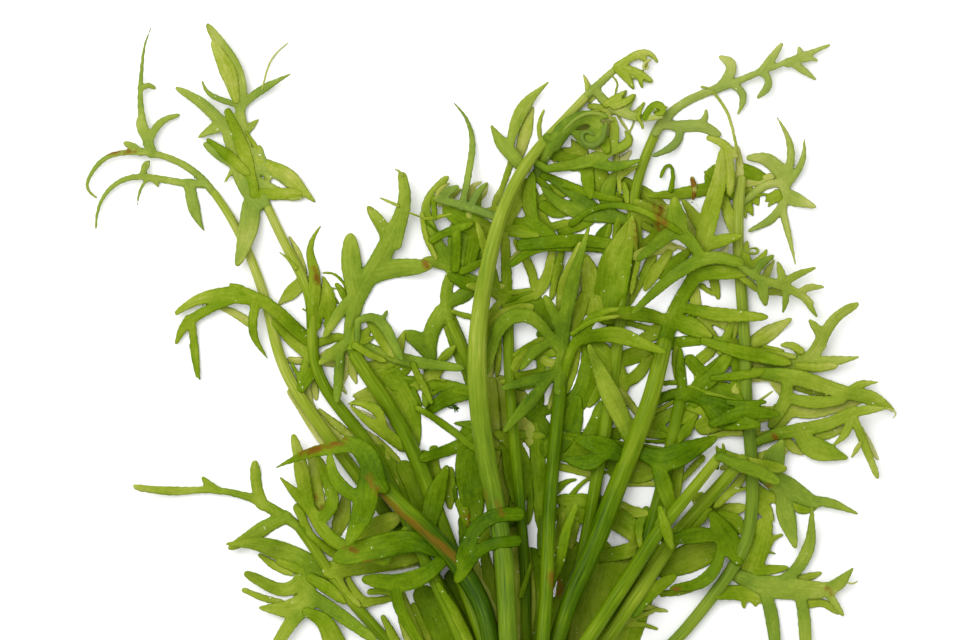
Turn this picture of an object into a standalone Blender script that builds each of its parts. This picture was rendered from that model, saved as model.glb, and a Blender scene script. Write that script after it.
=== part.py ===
"""Water sprite (Ceratopteris), one picked bunch lying on a table.

Fronds fan out from a short crown. Each frond is a fleshy stalk with thin, strap-lobed blades. The outline of every
stalk and blade is a list of points on a drawing of the plant from straight above. Heights are worked out: the pieces
are laid one after another, each one resting on what already lies beneath it.
"""

import math

import bmesh
import bpy
import numpy as np
from mathutils import Matrix, Vector
from mathutils.geometry import delaunay_2d_cdt

# The drawing: its step in metres, its middle, the height of the eye above the table, and where the origin lies on it
STEP = 0.0003
MIDDLE = (480.0, 320.0)
EYE = 1.0
ORIGIN = (0.00238, -0.02741)

# Sheets and stalks
SHEET = 0.0008
THINNEST = 0.0009
STALK_RINGS = 1

# How the pieces lie on one another
CELL = 0.0008
DENSE = 0.0008
GAP = 0.0008
MARGIN = 0.0003
STALK_FALL = 0.30
BLADE_FALL = 0.42
RIPPLE = 0.0006
RIPPLE_LENGTH = 0.034
JOINT_GAP = 0.0004
JOINT_REACH = 0.0015

# How far the outline may stray when points are left out
STRAY = 0.00040

# Crown
CROWN_WIDTH = 0.026
CROWN_HEIGHT = 0.020
CROWN_LENGTH = 0.024
CROWN_LIFT = 0.0088
CROWN_TOP = (521.0, 720.5)

# Stalks: name, order from the table up, widths at the foot, middle and tip in drawing steps, then the points
STALKS = (
    ("arch_stalk", 30, (13, 13, 8), (
        (497, 716), (486, 676), (470, 640), (453, 606), (436, 578), (410, 545), (382, 508), (356, 474), (331, 440),
        (309, 410), (293, 386), (282, 364), (275, 342), (270, 316), (265, 298), (257, 274), (248, 251), (238, 231),
        (228, 212), (215, 194))),
    ("tall_stalk", 34, (13, 13, 9), (
        (484, 716), (474, 668), (450, 612), (426, 562), (404, 512), (382, 468), (364, 437), (346, 416), (329, 395),
        (317, 374), (312, 348), (312, 320), (311, 300), (306, 283), (297, 267), (287, 248), (277, 228), (269, 210))),
    ("hand_stalk", 40, (14, 16, 14), (
        (516, 716), (492, 662), (474, 612), (455, 560), (437, 512), (420, 466), (402, 428), (384, 398), (365, 372),
        (356, 357))),
    ("mid_left_stalk", 20, (11, 12, 11), (
        (506, 716), (506, 650), (500, 580), (496, 500), (486, 430), (474, 378), (461, 344), (452, 325))),
    ("low_left_stalk", 12, (12, 12, 10), (
        (487, 716), (484, 709), (474, 701), (455, 690), (420, 668), (388, 643), (364, 615), (345, 594), (327, 568), (313, 546), (301, 530))),
    ("striped_stalk", 44, (15, 20, 16), (
        (506, 716), (494, 660), (486, 612), (468, 577), (445, 548), (420, 522), (398, 504), (384, 488))),
    ("thick_stalk", 80, (18, 20, 9), (
        (517, 716), (512, 680), (508, 640), (507, 600), (504, 555), (497, 510), (488, 468), (481, 425), (477, 380),
        (477, 340), (482, 295), (491, 250), (501, 214), (517, 178), (538, 148), (562, 123), (584, 99))),
    ("straight_stalk", 24, (11, 11, 11), (
        (526, 716), (526, 650), (526, 580), (520, 500), (513, 430), (509, 370), (508, 320))),
    ("centre_stalk", 60, (13, 14, 13), (
        (526, 716), (542, 655), (547, 585), (549, 515), (555, 440), (560, 390))),
    ("upper_right_stalk", 26, (11, 13, 10), (
        (536, 716), (556, 660), (572, 600), (588, 530), (600, 460), (612, 390), (620, 320), (628, 250), (633, 205),
        (637, 180), (647, 152), (656, 132))),
    ("broad_stalk", 50, (14, 20, 16), (
        (543, 716), (552, 655), (572, 595), (597, 541), (618, 484), (636, 440), (652, 395), (664, 345))),
    ("dark_stalk", 10, (12, 14, 12), (
        (545, 716), (560, 676), (596, 640), (628, 590), (646, 545), (659, 500), (667, 465), (674, 430), (679, 405))),
    ("pale_stalk", 70, (13, 15, 10), (
        (553, 716), (563, 676), (589, 638), (613, 601), (638, 563), (661, 528), (686, 498), (704, 475), (718, 458))),
    ("slant_stalk", 32, (12, 16, 12), (
        (550, 716), (566, 690), (606, 640), (640, 590), (668, 545), (700, 508), (725, 480), (742, 460))),
    ("far_right_stalk", 28, (11, 13, 11), (
        (556, 716), (558, 709), (568, 702), (590, 694), (626, 682), (676, 641), (698, 615), (716, 592), (735, 566), (748, 540), (753, 500),
        (751, 450), (746, 400), (745, 350), (742, 300), (738, 250), (738, 208), (741, 180))),
)

# Blades: name, order, the stalk they grow from, rise of the far end in millimetres, then straps
# Each strap: widths at its foot, middle and tip, then its points; the first strap is the axis the others grow from
BLADES = (
    ("arch_blade", 31, "arch_stalk", 3, (
        (8, 7, 6, (212, 191), (204, 180), (190, 168), (175, 160), (158, 154), (140, 152)),
        (6, 5, 2, (142, 152), (125, 152), (108, 155), (96, 165), (84, 186), (88, 194), (97, 198)),
        (10, 5, 1, (152, 153), (146, 135), (141, 115), (140, 95), (141, 76), (144, 45), (152, 25)),
        (8, 8, 4, (147, 144), (154, 130), (163, 119), (179, 115)),
        (8, 6, 2, (203, 184), (188, 184), (172, 181), (150, 177), (135, 176), (120, 180), (105, 192), (96, 213),
         (96, 230)),
        (11, 13, 1, (189, 184), (192, 200), (196, 216), (204, 231)),
        (3, 3, 1, (149, 178), (140, 188), (137, 206)))),
    ("tall_blade", 36, "tall_stalk", 3, (
        (9, 9, 9, (267, 206), (257, 181), (249, 155), (244, 132), (240, 110)),
        (9, 19, 7, (240, 112), (241, 92), (236, 74), (227, 56), (217, 39), (209, 27)),
        (6, 6, 2, (240, 106), (225, 101), (212, 97), (204, 90), (202, 81)),
        (7, 9, 1, (240, 108), (252, 96), (264, 88), (292, 73)),
        (8, 14, 1, (252, 170), (268, 170), (281, 174), (295, 183), (316, 203)),
        (8, 11, 8, (257, 180), (270, 188), (284, 196), (299, 197)),
        (12, 19, 12, (258, 205), (246, 190), (241, 172), (236, 153), (226, 127)),
        (12, 12, 6, (228, 130), (210, 110), (195, 98), (178, 89)),
        (10, 12, 9, (238, 166), (225, 158), (208, 146)),
        (8, 18, 8, (256, 190), (254, 212), (247, 240), (239, 262)))),
    ("left_wing_blade", 38, "tall_stalk", 1, (
        (14, 14, 5, (308, 340), (294, 328), (279, 313), (262, 300), (246, 291), (232, 285)),
        (10, 12, 1, (268, 303), (240, 298), (218, 297), (196, 301), (176, 315)),
        (10, 9, 1, (256, 303), (252, 320), (253, 338), (268, 359)),
        (6, 11, 3, (230, 302), (208, 309), (188, 321), (176, 343)),
        (8, 8, 1, (191, 318), (194, 342), (200, 382)))),
    ("hand_blade", 42, "hand_stalk", 4, (
        (12, 14, 16, (354, 354), (349, 334), (353, 315), (358, 295)),
        (16, 20, 5, (357, 300), (369, 276), (382, 256), (392, 236), (401, 216), (405, 200), (400, 174)),
        (16, 18, 15, (355, 290), (352, 270), (351, 242)),
        (12, 11, 8, (390, 243), (382, 228), (370, 210)),
        (18, 18, 15, (372, 272), (390, 268), (424, 266)),
        (10, 12, 8, (357, 292), (342, 308), (326, 334)),
        (8, 14, 8, (351, 338), (338, 350), (322, 362)),
        (8, 11, 8, (341, 348), (339, 374), (337, 399)),
        (8, 14, 8, (351, 336), (374, 351), (412, 362), (461, 368)))),
    ("whorl_arch_blade", 45, "hand_stalk", 5, (
        (7, 12, 8, (358, 321), (371, 314), (384, 324), (392, 340), (400, 357)),
        (6, 5, 3, (381, 322), (387, 311)))),
    ("low_hand_blade", 41, "hand_stalk", 2, (
        (12, 12, 2, (402, 446), (384, 432), (366, 420), (350, 406)),
        (8, 11, 1, (384, 434), (381, 412), (368, 404), (347, 403)))),
    ("mid_left_blade", 21, "mid_left_stalk", 3, (
        (11, 12, 11, (450, 322), (445, 304), (446, 288), (454, 268)),
        (10, 14, 12, (453, 268), (441, 262), (429, 261)),
        (12, 11, 4, (450, 266), (438, 244), (427, 220), (424, 206), (431, 192), (445, 177)),
        (12, 28, 14, (455, 266), (458, 245), (463, 226), (476, 198)),
        (10, 12, 9, (454, 270), (470, 280), (486, 283)),
        (8, 9, 7, (457, 264), (472, 260), (486, 250)),
        (10, 13, 10, (447, 314), (436, 326), (430, 345), (430, 372), (426, 402)),
        (12, 16, 10, (430, 356), (420, 342), (407, 335)),
        (8, 16, 10, (446, 305), (459, 298), (478, 286)))),
    ("low_left_blade", 14, "low_left_stalk", 3, (
        (10, 12, 8, (298, 526), (285, 517), (268, 507), (250, 497)),
        (8, 5, 6, (252, 498), (227, 491), (200, 490), (172, 493), (137, 488)),
        (12, 11, 11, (262, 504), (256, 485), (255, 466)),
        (6, 9, 6, (220, 491), (209, 486), (204, 479)),
        (12, 16, 8, (286, 517), (270, 524), (252, 536), (232, 547)))),
    ("low_left_fork_blade", 15, "low_left_stalk", 4, (
        (14, 22, 3, (330, 575), (310, 562), (285, 553), (258, 543), (227, 544)),
        (14, 14, 10, (308, 562), (299, 586), (281, 592), (249, 575)),
        (14, 24, 4, (302, 576), (310, 598), (298, 610), (260, 608)),
        (16, 13, 11, (308, 604), (292, 620), (270, 656)),
        (14, 14, 10, (312, 596), (336, 612), (372, 638)))),
    ("upright_blade", 46, "striped_stalk", 3, (
        (12, 14, 12, (384, 560), (350, 550), (326, 536), (310, 508)),
        (10, 16, 8, (311, 512), (303, 480), (299, 455), (294, 438)),
        (8, 10, 1, (310, 512), (294, 492), (279, 476)),
        (12, 14, 8, (318, 521), (331, 512), (334, 498), (327, 478), (318, 458)))),
    ("striped_blade", 48, "striped_stalk", 4, (
        (12, 24, 14, (382, 485), (372, 466), (364, 450), (350, 442)),
        (12, 12, 1, (358, 446), (330, 448), (305, 454), (275, 468)),
        (12, 26, 12, (368, 460), (368, 486), (363, 515), (350, 540)),
        (12, 14, 8, (363, 500), (346, 492), (332, 476), (330, 458)))),
    ("striped_wide_blade", 47, "striped_stalk", 1, (
        (12, 26, 22, (446, 556), (415, 540), (385, 545), (345, 556)),)),
    ("striped_low_blade", 45, "striped_stalk", 1, (
        (12, 20, 14, (446, 557), (425, 576), (400, 584), (370, 580)),
        (12, 12, 10, (396, 582), (396, 600), (408, 625), (424, 650)))),
    ("thick_left_blade", 82, "thick_stalk", 4, (
        (14, 14, 2, (518, 162), (508, 150), (500, 142), (491, 125)),
        (6, 15, 1, (509, 152), (512, 135), (518, 117), (528, 100), (550, 81)))),
    ("thick_branch_blade", 83, "thick_stalk", 2, (
        (9, 9, 7, (495, 217), (478, 210), (458, 204), (437, 199)),
        (7, 7, 1, (462, 207), (466, 188), (473, 148), (472, 132), (466, 116), (452, 101)),
        (6, 10, 5, (440, 201), (447, 192), (457, 187)),
        (6, 8, 4, (470, 208), (477, 193), (486, 184)))),
    ("thick_tip_blade", 86, "thick_stalk", 2, (
        (9, 8, 6, (586, 97), (604, 79), (620, 65)),
        (6, 8, 3, (618, 67), (632, 57), (646, 49), (656, 60)),
        (6, 9, 4, (618, 66), (627, 77), (633, 88)),
        (6, 7, 4, (622, 70), (636, 76), (651, 82)),
        (9, 11, 4, (595, 89), (604, 103), (622, 112), (640, 119), (662, 117)),
        (8, 8, 3, (612, 108), (620, 100), (626, 91)),
        (8, 7, 3, (622, 112), (630, 103), (635, 95)))),
    ("fiddle_blade", 85, "thick_stalk", 2, (
        (10, 11, 12, (556, 147), (564, 134), (574, 122), (586, 116), (597, 121), (601, 136)),
        (14, 22, 14, (600, 131), (590, 141), (580, 136)))),
    ("thick_mid_blade", 84, "thick_stalk", 2, (
        (8, 14, 9, (547, 169), (566, 166), (590, 161), (608, 153), (615, 140), (614, 122)),
        (10, 11, 3, (594, 163), (615, 168), (641, 160)),
        (6, 10, 1, (612, 152), (622, 147), (631, 139), (624, 130)))),
    ("behind_top_blade", 27, "upper_right_stalk", 2, (
        (12, 18, 8, (632, 222), (608, 215), (585, 214), (560, 205), (545, 190)),
        (12, 14, 4, (600, 215), (585, 200), (550, 180)),
        (12, 18, 6, (612, 216), (605, 195), (616, 172)))),
    ("long_left_blade", 27, "upper_right_stalk", 0, (
        (12, 12, 8, (626, 262), (605, 246), (575, 246), (545, 245), (528, 252), (512, 264)),
        (10, 14, 8, (560, 246), (545, 230), (530, 222), (512, 222)),
        (10, 16, 8, (536, 226), (528, 205), (532, 176)))),
    ("straight_blade", 25, "straight_stalk", 1, (
        (11, 11, 9, (508, 316), (507, 290), (506, 260), (505, 236)),
        (8, 12, 8, (505, 303), (494, 290), (470, 286)),
        (8, 11, 6, (498, 294), (492, 270), (478, 225)),
        (9, 12, 8, (508, 302), (525, 299), (540, 292), (548, 276), (553, 248)),
        (8, 10, 7, (536, 296), (532, 270), (516, 242)))),
    ("centre_blade", 62, "centre_stalk", 4, (
        (13, 14, 12, (560, 386), (562, 362), (564, 345)),
        (12, 15, 3, (563, 348), (565, 318), (575, 272), (589, 227)),
        (8, 11, 9, (564, 344), (556, 318), (547, 300)),
        (8, 16, 8, (562, 354), (547, 332), (530, 314), (512, 315), (498, 327), (486, 372)),
        (8, 12, 6, (552, 342), (534, 350), (522, 368)),
        (8, 12, 6, (560, 372), (540, 378), (503, 388)),
        (8, 14, 6, (552, 376), (535, 396), (505, 430)))),
    ("centre_over_blade", 66, "centre_stalk", 5, (
        (10, 12, 4, (571, 352), (582, 330), (598, 312), (618, 309)),
        (10, 18, 6, (576, 342), (598, 334), (620, 335), (664, 352)))),
    ("bright_blade", 72, "broad_stalk", 6, (
        (14, 22, 7, (634, 446), (622, 418), (607, 388), (590, 348)),
        (14, 18, 6, (628, 434), (645, 420), (652, 402), (650, 384)))),
    ("broad_low_blade", 52, "broad_stalk", 3, (
        (14, 26, 10, (640, 452), (664, 462), (690, 450), (712, 440)),
        (12, 18, 12, (656, 460), (664, 485), (672, 510)))),
    ("broad_low_left_blade", 51, "broad_stalk", 2, (
        (12, 22, 12, (630, 460), (608, 448), (580, 440)),
        (10, 18, 8, (610, 450), (590, 464), (568, 460)))),
    ("broad_blade", 54, "broad_stalk", 3, (
        (16, 15, 14, (665, 341), (672, 318), (680, 300), (692, 282)),
        (10, 16, 14, (688, 284), (704, 272), (742, 272)),
        (12, 20, 12, (690, 286), (700, 255), (706, 230), (712, 206), (720, 180), (724, 152)),
        (10, 14, 6, (703, 248), (722, 240), (740, 236)),
        (10, 12, 6, (705, 232), (694, 216), (684, 202)),
        (12, 20, 12, (672, 320), (690, 326), (706, 334)),
        (10, 18, 10, (684, 304), (712, 304), (738, 309), (762, 312)),
        (10, 16, 10, (672, 322), (645, 314), (606, 312)))),
    ("brown_spot_blade", 37, "upper_right_stalk", 5, (
        (14, 26, 6, (614, 334), (618, 300), (624, 268), (632, 242), (632, 218)),
        (12, 20, 14, (613, 325), (600, 300), (587, 262)))),
    ("right_grey_blade", 56, "far_right_stalk", 4, (
        (12, 14, 6, (737, 262), (715, 256), (694, 262), (672, 276), (650, 296), (634, 312)),
        (10, 16, 8, (704, 260), (690, 240), (676, 228), (640, 258)),
        (8, 22, 14, (684, 238), (676, 220), (675, 205)))),
    ("upper_right_blade", 33, "upper_right_stalk", 2, (
        (10, 9, 8, (658, 129), (668, 115), (684, 102), (700, 95), (716, 89)),
        (8, 6, 2, (714, 90), (734, 83), (759, 72), (782, 64), (803, 55), (830, 45)),
        (8, 10, 4, (718, 88), (730, 76), (733, 66), (720, 57)),
        (7, 8, 1, (732, 84), (744, 92), (743, 104), (737, 116)),
        (8, 9, 5, (761, 72), (772, 58), (781, 45)),
        (6, 6, 3, (762, 71), (770, 82), (758, 97)),
        (6, 8, 3, (790, 62), (803, 70), (815, 79)),
        (8, 13, 10, (660, 124), (684, 127), (700, 124), (716, 133)),
        (7, 6, 2, (700, 124), (706, 118), (706, 109)),
        (8, 9, 4, (680, 127), (680, 141), (668, 150), (653, 156)))),
    ("far_right_blade", 57, "far_right_stalk", 4, (
        (8, 9, 8, (741, 204), (758, 190), (770, 182), (786, 184)),
        (8, 8, 1, (784, 186), (790, 168), (792, 150), (787, 133), (776, 116)),
        (7, 7, 1, (788, 184), (799, 170), (805, 155), (804, 138)),
        (8, 11, 4, (784, 182), (774, 166), (762, 158), (748, 159)),
        (8, 16, 4, (784, 182), (784, 196), (798, 200), (815, 207)),
        (8, 7, 1, (784, 192), (782, 210), (788, 232), (796, 266)),
        (8, 9, 3, (783, 204), (772, 220), (749, 231)))),
    ("far_right_fine_blade", 55, "far_right_stalk", 3, (
        (7, 10, 7, (740, 266), (762, 281), (780, 284), (800, 294), (810, 302)),
        (6, 6, 2, (806, 300), (817, 317)),
        (8, 8, 3, (782, 284), (798, 274), (815, 268)),
        (6, 9, 4, (784, 287), (781, 272), (778, 263)),
        (8, 12, 8, (761, 280), (763, 292), (765, 302)),
        (7, 7, 2, (786, 287), (786, 300), (783, 313)),
        (6, 8, 3, (798, 294), (808, 287), (823, 287)),
        (6, 9, 4, (754, 276), (761, 263), (773, 256)))),
    ("antler_blade", 59, "far_right_stalk", 4, (
        (9, 14, 9, (744, 352), (768, 362), (786, 366), (808, 362), (818, 348), (826, 330), (838, 314), (854, 306)),
        (8, 10, 2, (814, 360), (838, 361), (859, 357)),
        (8, 10, 8, (822, 346), (820, 332), (812, 323)),
        (7, 9, 2, (802, 364), (799, 348), (783, 345)))),
    ("right_spear_blade", 53, "far_right_stalk", 3, (
        (12, 18, 4, (744, 350), (758, 340), (774, 330), (791, 319)),)),
    ("right_fan_blade", 61, "far_right_stalk", 3, (
        (10, 18, 12, (748, 372), (772, 374), (800, 378), (830, 388), (852, 394)),
        (12, 16, 3, (846, 393), (866, 396), (884, 403), (894, 411)),
        (8, 8, 1, (848, 393), (858, 384), (879, 382)),
        (10, 14, 10, (786, 376), (788, 396), (772, 424)),
        (10, 14, 8, (787, 398), (812, 403), (842, 401)))),
    ("right_fork_blade", 63, "far_right_stalk", 2, (
        (10, 14, 12, (752, 444), (775, 434), (800, 430), (830, 424), (852, 412)),
        (10, 10, 1, (848, 415), (862, 410), (889, 408)),
        (8, 9, 6, (852, 414), (862, 438), (877, 476)),
        (8, 9, 2, (852, 416), (846, 434), (833, 446)),
        (14, 24, 4, (800, 430), (806, 446), (847, 458)))),
    ("right_lower_blade", 64, "far_right_stalk", 3, (
        (12, 24, 14, (752, 466), (776, 482), (796, 492), (812, 502)),
        (10, 10, 2, (806, 500), (830, 502), (858, 514)),
        (12, 20, 6, (782, 486), (784, 508), (795, 546)),
        (14, 24, 12, (772, 478), (773, 460), (780, 446)))),
    ("lower_right_blade", 65, "far_right_stalk", 3, (
        (12, 24, 16, (730, 572), (756, 584), (780, 588), (806, 590), (828, 590)),
        (10, 14, 2, (820, 590), (838, 586), (853, 568)),
        (12, 14, 11, (764, 590), (771, 610), (776, 648)),
        (10, 13, 12, (798, 590), (804, 612), (806, 648)),
        (8, 9, 8, (826, 590), (836, 606), (852, 634)),
        (12, 20, 4, (776, 584), (796, 568), (812, 544), (815, 506)))),
    ("lower_right_upper_blade", 67, "far_right_stalk", 2, (
        (12, 26, 16, (738, 560), (728, 540), (716, 520)),
        (10, 18, 8, (726, 538), (705, 534), (665, 540)),
        (10, 14, 8, (722, 548), (716, 570), (700, 585), (674, 588)))),
    ("right_centre_blade", 49, "dark_stalk", 3, (
        (12, 16, 12, (680, 400), (700, 387), (716, 374), (728, 356)),
        (10, 16, 10, (688, 395), (706, 402), (748, 411)),
        (8, 12, 6, (684, 398), (680, 372), (680, 350)),
        (12, 20, 10, (706, 403), (718, 420), (755, 424)),
        (8, 10, 6, (689, 393), (676, 391), (660, 400), (645, 410)))),
    ("right_back_blade", 29, "far_right_stalk", 2, (
        (10, 14, 6, (736, 196), (712, 188), (680, 194), (650, 196)),
        (8, 12, 8, (716, 188), (708, 178), (714, 168)))),
    ("pale_blade", 73, "pale_stalk", 3, (
        (9, 14, 12, (720, 456), (734, 464), (756, 470), (774, 480)),)),
    ("base_leaf_blade", 75, "centre_stalk", 2, (
        (8, 12, 6, (549, 590), (560, 560), (566, 530), (576, 505)),)),
    ("base_dark_blade", 22, "mid_left_stalk", 0, (
        (14, 22, 10, (512, 520), (524, 475), (516, 445), (498, 434)),)),
)


def clear_scene():
    for obj in list(bpy.data.objects):
        bpy.data.objects.remove(obj, do_unlink=True)


def collection(name, hidden=False):
    made = bpy.data.collections.new(name)
    bpy.context.scene.collection.children.link(made)
    made.hide_render = hidden
    return made


def material(name, colour, roughness):
    made = bpy.data.materials.new(name)
    made.use_nodes = True
    shader = made.node_tree.nodes["Principled BSDF"]
    shader.inputs["Base Color"].default_value = (*colour, 1.0)
    shader.inputs["Roughness"].default_value = roughness
    made.diffuse_color = (*colour, 1.0)
    return made


def flat(points):
    """Drawing steps to metres in the drawing's plane, +Y up the plant."""
    found = np.array(points, dtype=float)
    return np.column_stack(((found[:, 0] - MIDDLE[0]) * STEP, (MIDDLE[1] - found[:, 1]) * STEP))


def run_lengths(points):
    return np.concatenate(([0.0], np.cumsum(np.hypot(*np.diff(points, axis=0).T))))


def sideways(line):
    """The direction to the left at each point of a line."""
    along = np.gradient(line, axis=0)
    along /= np.hypot(*along.T)[:, None]
    return np.column_stack((-along[:, 1], along[:, 0]))


def strap(widths, points):
    """A line at even close steps with its width at each, in metres on the drawing."""
    corners = flat(points)
    runs = run_lengths(corners)
    at = np.linspace(0.0, runs[-1], max(3, int(runs[-1] / DENSE) + 1))
    line = np.column_stack([np.interp(at, runs, corners[:, axis]) for axis in (0, 1)])
    width = np.interp(at / runs[-1], (0.0, 0.5, 1.0), np.array(widths) * STEP)
    return line, width


class Table:
    """How high the pile stands, cell by cell, and the height of each piece's middle."""

    def __init__(self, low, high):
        self.low = np.array(low)
        count = np.ceil((np.array(high) - self.low) / CELL).astype(int) + 1
        axes = [self.low[axis] + CELL * np.arange(count[axis]) for axis in (0, 1)]
        self.x, self.y = np.meshgrid(*axes, indexing="ij")
        self.tops = {}
        self.lines = {}

    def bare(self):
        return np.full(self.x.shape, -GAP - MARGIN)

    def disc(self, place, reach):
        """The cells around a place, and how much nearer than reach each one is, squared."""
        first = np.clip(((place - reach - self.low) / CELL).astype(int), 0, None)
        last = ((place + reach - self.low) / CELL).astype(int) + 2
        box = (slice(first[0], last[0]), slice(first[1], last[1]))
        return box, reach**2 - (self.x[box] - place[0]) ** 2 - (self.y[box] - place[1]) ** 2

    def covered(self, straps, grow):
        found = np.zeros(self.x.shape, dtype=bool)
        for line, width in straps:
            for place, wide in zip(line, width):
                box, inside = self.disc(place, wide / 2 + grow)
                found[box] |= inside > 0
        return found

    def ground(self, without=None, feet=()):
        """The top of all that lies here, leaving out one piece close to the given feet."""
        found = self.bare()
        for name, top in self.tops.items():
            if name == without:
                near = self.covered(feet, JOINT_REACH)
                top = np.where(near, found, top)
            found = np.maximum(found, top)
        return found

    def at(self, field, points):
        """The field between cells, at points."""
        where = (np.array(points) - self.low) / CELL
        cell = np.clip(np.floor(where).astype(int), 0, np.array(field.shape) - 2)
        part = np.clip(where - cell, 0.0, 1.0)
        i, j = cell.T
        s, t = part.T
        near = field[i, j] * (1 - s) + field[i + 1, j] * s
        far = field[i, j + 1] * (1 - s) + field[i + 1, j + 1] * s
        return near * (1 - t) + far * t


def window(values, reach, pick):
    """Each value becomes the pick, highest or mean, of those within reach of it along the line."""
    padded = np.pad(values, reach, mode="edge")
    return pick([padded[k : k + len(values)] for k in range(2 * reach + 1)], axis=0)


def lay_stalk(table, name, line, width):
    """Heights along a stalk's middle: over all that lies beneath, falling away gently, then eased."""
    ground = table.ground()
    heights = width / 2
    for k, (place, wide) in enumerate(zip(line, width)):
        box, dome = table.disc(place, wide / 2 + MARGIN)
        inside = dome > 0
        rest = (ground[box][inside] + np.sqrt(dome[inside])).max() + GAP
        heights[k] = max(heights[k], rest)
    ramp = STALK_FALL * DENSE * np.arange(len(line))
    forward = np.maximum.accumulate(heights + ramp) - ramp
    backward = np.maximum.accumulate((heights - ramp)[::-1])[::-1] + ramp
    heights = np.maximum(forward, backward)
    heights = window(window(heights, 6, np.max), 6, np.mean)
    top = table.bare()
    for place, wide, height in zip(line, width, heights):
        box, dome = table.disc(place, wide / 2 + MARGIN)
        top[box] = np.maximum(top[box], np.where(dome > 0, height + np.sqrt(np.abs(dome)), -1.0))
    table.tops[name] = top
    table.lines[name] = (line, heights)
    return heights


def widened(field, rounds):
    """Each cell becomes the highest of itself and its neighbours, over and over."""
    for _ in range(rounds):
        padded = np.pad(field, 1, mode="edge")
        across = np.maximum.reduce([padded[:-2], padded[1:-1], padded[2:]])
        field = np.maximum.reduce([across[:, :-2], across[:, 1:-1], across[:, 2:]])
    return field


def spread(field, fall):
    """Every peak gets sides that fall at this slope."""
    steps = [(1, 0, 1.0), (-1, 0, 1.0), (0, 1, 1.0), (0, -1, 1.0)]
    steps += [(1, 1, 1.4142), (1, -1, 1.4142), (-1, 1, 1.4142), (-1, -1, 1.4142)]
    while True:
        before = field
        for dx, dy, length in steps:
            padded = np.pad(field, 1, mode="edge")
            moved = padded[1 + dx : padded.shape[0] - 1 + dx, 1 + dy : padded.shape[1] - 1 + dy]
            field = np.maximum(field, moved - fall * CELL * length)
        if np.allclose(field, before, atol=1e-6):
            return field


def softened(field, rounds):
    """Each cell becomes the mean of itself and its neighbours, over and over."""
    for _ in range(rounds):
        padded = np.pad(field, 1, mode="edge")
        across = (padded[:-2] + 2 * padded[1:-1] + padded[2:]) / 4
        field = (across[:, :-2] + 2 * across[:, 1:-1] + across[:, 2:]) / 4
    return field


def ripple(x, y, seed):
    """Gentle waves, never below nought."""
    turn = seed * 2.4
    ahead = x * math.cos(turn) + y * math.sin(turn)
    aside = y * math.cos(turn) - x * math.sin(turn)
    first = np.sin(ahead * 2 * math.pi / RIPPLE_LENGTH + seed)
    second = np.sin(aside * 2 * math.pi / (0.7 * RIPPLE_LENGTH) + 2 * seed)
    return RIPPLE * (2 + first + second)


def lay_blade(table, name, straps, parent, seed, rise):
    """Heights for a blade, as a field: held by its stalk at the foot, draped over all that lies beneath."""
    foot = straps[0][0][0]
    covered = table.covered(straps, 0.0006)
    rows, columns = np.nonzero(covered)
    box = (slice(max(0, rows.min() - 8), rows.max() + 9), slice(max(0, columns.min() - 8), columns.max() + 9))
    x, y, lies = table.x[box], table.y[box], covered[box]
    feet = [(line[:1], width[:1]) for line, width in straps]
    need = np.where(lies, table.ground(parent, feet)[box] + GAP + SHEET / 2, -1.0)
    field = spread(widened(need, 2), BLADE_FALL)
    line, heights = table.lines[parent]
    held = heights[np.argmin(np.hypot(*(line - foot).T))]
    away = np.hypot(x - foot[0], y - foot[1])
    field = np.maximum(field, held - BLADE_FALL * away)
    far = max(0.001, float(away[lies].max()))
    free = ripple(x, y, seed) + rise / 1000 * (away / far) ** 2
    field = softened(field + free * np.clip(away / 0.02, 0.0, 1.0), 5)
    whole = np.full(table.x.shape, SHEET / 2)
    whole[box] = np.maximum(field, SHEET / 2)
    table.tops[name] = np.where(covered, whole + SHEET / 2, table.bare())
    return whole


def seen(points):
    """Drawing plane and height to true place: what stands nearer the eye looks larger than it is."""
    found = np.array(points, dtype=float)
    found[:, :2] *= (1 - found[:, 2] / EYE)[:, None]
    return found - (*ORIGIN, 0.0)


def few(rows, stray):
    """Indices of the rows needed to stay within stray of them all by straight runs."""
    kept = {0, len(rows) - 1}
    runs = [(0, len(rows) - 1)]
    while runs:
        a, b = runs.pop()
        if b - a < 2:
            continue
        share = np.linspace(0.0, 1.0, b - a + 1)[:, None]
        off = np.linalg.norm(rows[a : b + 1] - (rows[a] * (1 - share) + rows[b] * share), axis=1)
        worst = int(off.argmax())
        if off[worst] > stray:
            kept.add(a + worst)
            runs += [(a, a + worst), (a + worst, b)]
    return sorted(kept)


def stalk_object(name, line, width, heights):
    """A round tube along the stalk, thinner towards its tip, with closed ends."""
    places = seen(np.column_stack((line, heights)))
    kept = few(np.column_stack((places, width / 2)), STRAY)
    curve = bpy.data.curves.new(name, "CURVE")
    curve.dimensions = "3D"
    curve.bevel_depth = 1.0
    curve.bevel_resolution = STALK_RINGS
    curve.use_fill_caps = True
    run = curve.splines.new("POLY")
    run.points.add(len(kept) - 1)
    for point, k in zip(run.points, kept):
        point.co = (*places[k], 1.0)
        point.radius = width[k] / 2
    return bpy.data.objects.new(name, curve)


def clear_of(points, line, width):
    """Whether each point stands clear of a stalk's sides and end."""
    off = np.hypot(points[:, None, 0] - line[None, :, 0], points[:, None, 1] - line[None, :, 1])
    return (off > width / 2 + JOINT_GAP).all(axis=1)


def cut_back(line, width, stalk):
    """The strap from where it first stands clear of the stalk it starts on, or nothing if it never does."""
    edge = sideways(line) * np.maximum(width, THINNEST)[:, None] / 2
    clear = np.ones(len(line), dtype=bool)
    for share in (-1.0, -0.5, 0.0, 0.5, 1.0):
        clear &= clear_of(line + edge * share, *stalk)
    first = int(clear.argmax()) if clear.any() else len(line)
    return (line[first:], width[first:]) if first < len(line) - 4 else None


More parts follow.
